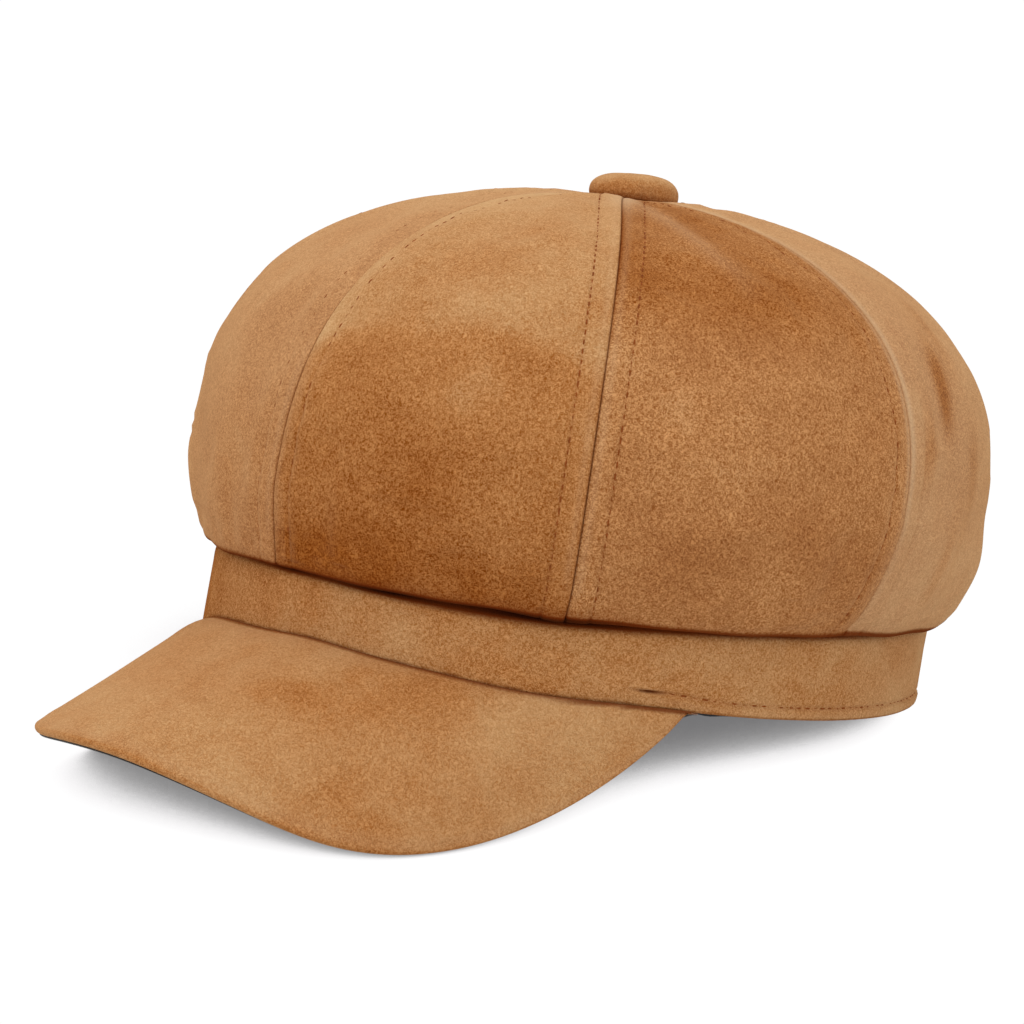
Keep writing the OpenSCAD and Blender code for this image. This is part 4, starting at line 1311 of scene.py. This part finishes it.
def build_visor():
    visor_piece("visor_top_cloth", "visor_top_cover", visor_top_section,
                nap_material("nap_visor", seed=5.3, tone_and_shade=0.12, grain=0.8))
    visor_piece("visor_board_core", "visor_board", visor_board_section, board_material(),
                cols=100, full=0.97, depth=0.0009)
    visor_piece("visor_under_cloth", "visor_under_cover", visor_under_section,
                weave_material("visor_under_weave", (0.030, 0.024, 0.020, 1), scale=1100,
                               rough=0.9, sheen=0.3),
                depth=0.0017)


# ------------------------------------------------------------------ button and label
def build_button():
    top_rows, cols = 40, 96
    sink = 1.0
    wide = BUTTON_R + 0.35
    wide_z = BUTTON_H * 0.16
    angle = np.linspace(0, 360, cols, endpoint=False)[None, :]
    turn = np.radians(3 + 87 * np.linspace(0, 1, top_rows)[:, None])
    # below the widest level the cover turns under
    under = np.radians(np.linspace(0, 90, 9))[1:, None]
    floor_r = np.linspace(wide - 2.2, wide - 4.2, 4)[:, None]
    radius = np.concatenate([wide * np.sin(turn) ** (2 / 2.7), wide - 1.4 + 1.4 * np.cos(under),
                             floor_r]) + 0 * angle
    z = np.concatenate([wide_z + BUTTON_H * 0.84 * np.cos(turn).clip(0) ** (2 / 2.5),
                        wide_z - (wide_z + sink) * np.sin(under),
                        -sink + 0 * floor_r]) + 0 * angle
    rows = len(radius)
    i = np.arange(rows)[:, None]
    gathers = waves(91, 10, 10, 34)(angle, i / 30)
    lump = 0.16 * waves(93, 6, 2, 6)(angle, i / 14.0) * ease(i / 14)
    radius = (radius + 0.14 * gathers * ease((i - top_rows * 0.62) / (top_rows * 0.5))
              + lump * 0.8)
    z = z + lump * 0.6 * (z > BUTTON_H * 0.45)
    # it sits a little askew, highest towards the left rear
    tip = (0.060 * radius * cosd(angle - 136) + 0.50) * np.clip(z / BUTTON_H + 0.15, 0, 1)
    z = z + tip
    inner_r = np.maximum(radius - 0.55 * np.clip(radius / BUTTON_R, 0, 1), 0.2)
    inner_z = np.minimum(np.where(i < top_rows, z - 0.5, z + 0.4), BUTTON_H - 0.75 + tip)
    verts = np.concatenate([
        around(angle + 0 * radius, radius, z + BUTTON_Z, BUTTON_Y).reshape(-1, 3),
        around(angle + 0 * radius, inner_r, inner_z + BUTTON_Z, BUTTON_Y).reshape(-1, 3),
        [[0, BUTTON_Y, BUTTON_Z + z[0].mean() + 0.03],
         [0, BUTTON_Y, BUTTON_Z + inner_z[0].mean()]]])
    base = rows * cols
    last = (rows - 1) * cols
    j, k = column_pairs(cols, True)
    faces = [face for part in (
        grid_faces(rows, cols, wrap=True),
        grid_faces(rows, cols, base, flip=True, wrap=True),
        np.stack([last + j, last + k, base + last + k, base + last + j], -1),
        np.stack([k, j, np.full(cols, 2 * base)], -1),
        np.stack([base + j, base + k, np.full(cols, 2 * base + 1)], -1),
    ) for face in part.tolist()]
    # painted shade: darker as the cover turns under and in the hollows of its gathers; the inner face dark
    seam_dark_and_shade = np.zeros((rows, cols))
    seam_dark_and_shade[top_rows:] = np.linspace(0.2, 1, rows - top_rows)[:, None]
    seam_dark_and_shade += 0.10 * np.clip(-gathers, 0, 1) * ease((i - top_rows * 0.7) / (top_rows * 0.3))
    seam_dark_and_shade = np.concatenate([seam_dark_and_shade.ravel(), np.ones(base), [0, 0]])
    # painted light and shade: paler top, darker lower down
    tone_and_shade = 0.08 - 0.22 * ease((i - 20) / 16) + 0 * angle
    tone_and_shade = np.append(tone_and_shade, np.zeros(base + 2))
    obj = closed_object("button_cover_cloth", lean(verts), faces,
                        {"seam_dark_and_shade": seam_dark_and_shade, "wear_and_highlight": seam_dark_and_shade * 0, "tone_and_shade": tone_and_shade})
    fit(obj, nap_material("nap_button", seed=7.9, tone_and_shade=0.16, grain=0.7),
        "button_cover", rider="button")


def finish_button_metal():
    metal = metal_material()
    for name in ("button_shell", "button_back", "button_washer"):
        materials = frame["nodes"][name].data.materials
        materials.clear()
        materials.append(metal)


def build_label():
    """A small tab at the rear, inside the sweatband."""
    spread, z_low, z_high = 6.5, 7.2, 17.8
    angle = np.linspace(180 - spread, 180 + spread, 40)[None, :]
    z = np.linspace(z_low, z_high, 16)[:, None]
    radius = band_radius(angle) - 3.35 + 0.04 * np.sin(np.radians((angle - 180) * 40)) * np.sin(z)
    thickness = 0.4 + 0.08 * np.sin(np.pi * (z - z_low) / (z_high - z_low))
    obj = sheet("size_label_tab", around(angle + 0 * radius, radius, z),
                around(angle + 0 * radius, radius - thickness, z), {"seam_dark_and_shade": 0 * radius})
    turn_outward(obj)
    fit(obj, weave_material("label_weave", (0.75, 0.74, 0.70, 1), scale=1500, rough=0.8,
                            contrast=0.12), "size_label")


# ------------------------------------------------------------------ put together
THREAD = thread_material()
SLACK = slack_from_cloth()
CROWN = [crown_gore(k, SLACK) for k in range(GORES)]
build_crown(CROWN)
build_crown_stitches(CROWN)
build_lining()
build_band()
build_hem_stitches()
band_ring("sweatband_cloth", "sweatband", inset=2.3, thickness=0.9, z_low=-0.35,
          z_high=BAND_H + 0.4, wobble=0.12, seed=71,
          material=weave_material("black_grosgrain", (0.010, 0.010, 0.012, 1), scale=700,
                                  rough=0.7, sheen=0.2, specular=0.3),
          dips=((68.6, 2.2, 0.5), (106, 6, 0.25), (200, 20, 0.2)))
band_ring("band_stiffener_tape", "band_stiffener", inset=1.5, thickness=0.65, z_low=1.6,
          z_high=BAND_H - 1, wobble=0.02, seed=73,
          material=weave_material("tape_weave", (0.68, 0.66, 0.60, 1), scale=500, rough=0.9,
                                  contrast=0.15))
build_visor()
build_button()
finish_button_metal()
build_label()

# ------------------------------------------------------------------ floor
FLOOR_HALF = 6.0
FLOOR_Z = float(CAD_LO[2]) - 0.0002
LOW_FRONT = (0.8627, -0.4981, 0.0872)    # direction in which the floor looks for cover
# The floor's painted shadow: its brightness to the camera against how open it is that way: (openness, grey)
FLOOR_SHADE = ((0.60, 0.20), (0.619, 0.223), (0.652, 0.376), (0.674, 0.578), (0.70, 0.83),
               (0.739, 0.95))
BACKDROP = 1.02                          # brightness of floor and world to the camera


def add_node(tree, kind, inputs=None):
    node = tree.nodes.new(kind)
    for key, value in (inputs or {}).items():
        node.inputs[key].default_value = value
    return node


def mix_shaders(tree, factor, first, second):
    """Output of a new mix: first where the factor is 0, second where it is 1."""
    mix = add_node(tree, "ShaderNodeMixShader")
    for i, socket in enumerate((factor, first, second)):
        tree.links.new(socket, mix.inputs[i])
    return mix.outputs[0]


def floor_material():
    """Bright paper glowing to the camera, with a painted shadow where the object hides the view
    towards the low front, plain grey to all other rays, and clear from below."""
    material = bpy.data.materials.new("pale_floor")
    material.use_nodes = True
    tree = material.node_tree
    tree.nodes.clear()
    out = add_node(tree, "ShaderNodeOutputMaterial")
    grey = add_node(tree, "ShaderNodeBsdfDiffuse", {"Color": (0.80, 0.80, 0.80, 1)})
    rays = add_node(tree, "ShaderNodeLightPath")
    openness = add_node(tree, "ShaderNodeAmbientOcclusion", {"Distance": 0.4})
    openness.samples = 64
    toward = add_node(tree, "ShaderNodeCombineXYZ", dict(zip("XYZ", LOW_FRONT)))
    tree.links.new(toward.outputs[0], openness.inputs["Normal"])
    shade = add_node(tree, "ShaderNodeValToRGB")
    stops = shade.color_ramp.elements
    stops[0].position, stops[0].color = 0.58, (0.17, 0.168, 0.172, 1)
    stops[1].position, stops[1].color = 0.772, (1.0, 1.0, 1.0, 1)
    for position, value in FLOOR_SHADE:
        stops.new(position).color = (value, value * 0.985, value * 0.99, 1)
    tree.links.new(openness.outputs["AO"], shade.inputs["Fac"])
    glow = add_node(tree, "ShaderNodeEmission", {"Strength": BACKDROP})
    tree.links.new(shade.outputs["Color"], glow.inputs["Color"])
    lit = mix_shaders(tree, rays.outputs["Is Camera Ray"], grey.outputs[0], glow.outputs[0])
    clear = add_node(tree, "ShaderNodeBsdfTransparent")
    geometry = add_node(tree, "ShaderNodeNewGeometry")
    seen = mix_shaders(tree, geometry.outputs["Backfacing"], lit, clear.outputs[0])
    tree.links.new(seen, out.inputs["Surface"])
    return material


def build_floor():
    mesh = bpy.data.meshes.new("floor")
    corners = [(-1, -1), (1, -1), (1, 1), (-1, 1)]
    mesh.from_pydata([(x * FLOOR_HALF, y * FLOOR_HALF, FLOOR_Z) for x, y in corners], [],
                     [(0, 1, 2, 3)])
    floor = bpy.data.objects.new("floor", mesh)
    SCENE.collection.objects.link(floor)
    floor.data.materials.append(floor_material())


# ------------------------------------------------------------------ light and camera
def build_world():
    """White all round, a little brighter to the camera than to the object."""
    world = bpy.data.worlds.new("studio")
    SCENE.world = world
    world.use_nodes = True
    tree = world.node_tree
    white = (1, 1, 1, 1)
    light = tree.nodes["Background"]
    light.inputs["Color"].default_value = white
    light.inputs["Strength"].default_value = 0.88
    seen = add_node(tree, "ShaderNodeBackground", {"Color": white, "Strength": BACKDROP})
    rays = add_node(tree, "ShaderNodeLightPath")
    mixed = mix_shaders(tree, rays.outputs["Is Camera Ray"], light.outputs[0], seen.outputs[0])
    tree.links.new(mixed, tree.nodes["World Output"].inputs["Surface"])


def aim(obj, target):
    obj.rotation_mode = "QUATERNION"
    obj.rotation_quaternion = (Vector(target) - obj.location).to_track_quat("-Z", "Y")


def softbox(name, location, size, power):
    """A square white light aimed at the object's middle."""
    light = bpy.data.lights.new(name, "AREA")
    light.shape = "RECTANGLE"
    light.size = light.size_y = size
    light.energy = power
    light.color = (1, 1, 1)
    obj = bpy.data.objects.new(name, light)
    obj.location = location
    aim(obj, (CAD_LO + CAD_HI) / 2)
    SCENE.collection.objects.link(obj)


def build_camera():
    """Looks slightly down from the front left."""
    azimuth, elevation = math.radians(46.4254), math.radians(11.4589)
    back = Vector((math.sin(azimuth) * math.cos(elevation),
                   -math.cos(azimuth) * math.cos(elevation), math.sin(elevation)))
    right = Vector((math.cos(azimuth), math.sin(azimuth), 0))
    up = back.cross(right)
    centre = Vector((0, 0, 0.04925))
    data = bpy.data.cameras.new("camera")
    data.sensor_width = 36
    data.lens = 98.4375
    data.clip_start, data.clip_end = 0.01, 50
    camera = bpy.data.objects.new("camera", data)
    SCENE.collection.objects.link(camera)
    camera.location = centre + back * 0.739957
    aim(camera, centre - right * 0.013446 - up * 0.012381)
    SCENE.camera = camera


build_floor()
build_world()
softbox("top_softbox", location=(0.1, -0.2, 1.5), size=1.6, power=9)
softbox("left_softbox", location=(-0.6, -1.5, 0.9), size=1.0, power=3)
softbox("right_softbox", location=(1.5, -0.5, 0.7), size=1.0, power=2)
build_camera()
SCENE.view_settings.view_transform = "Standard"
SCENE.view_settings.look = "None"
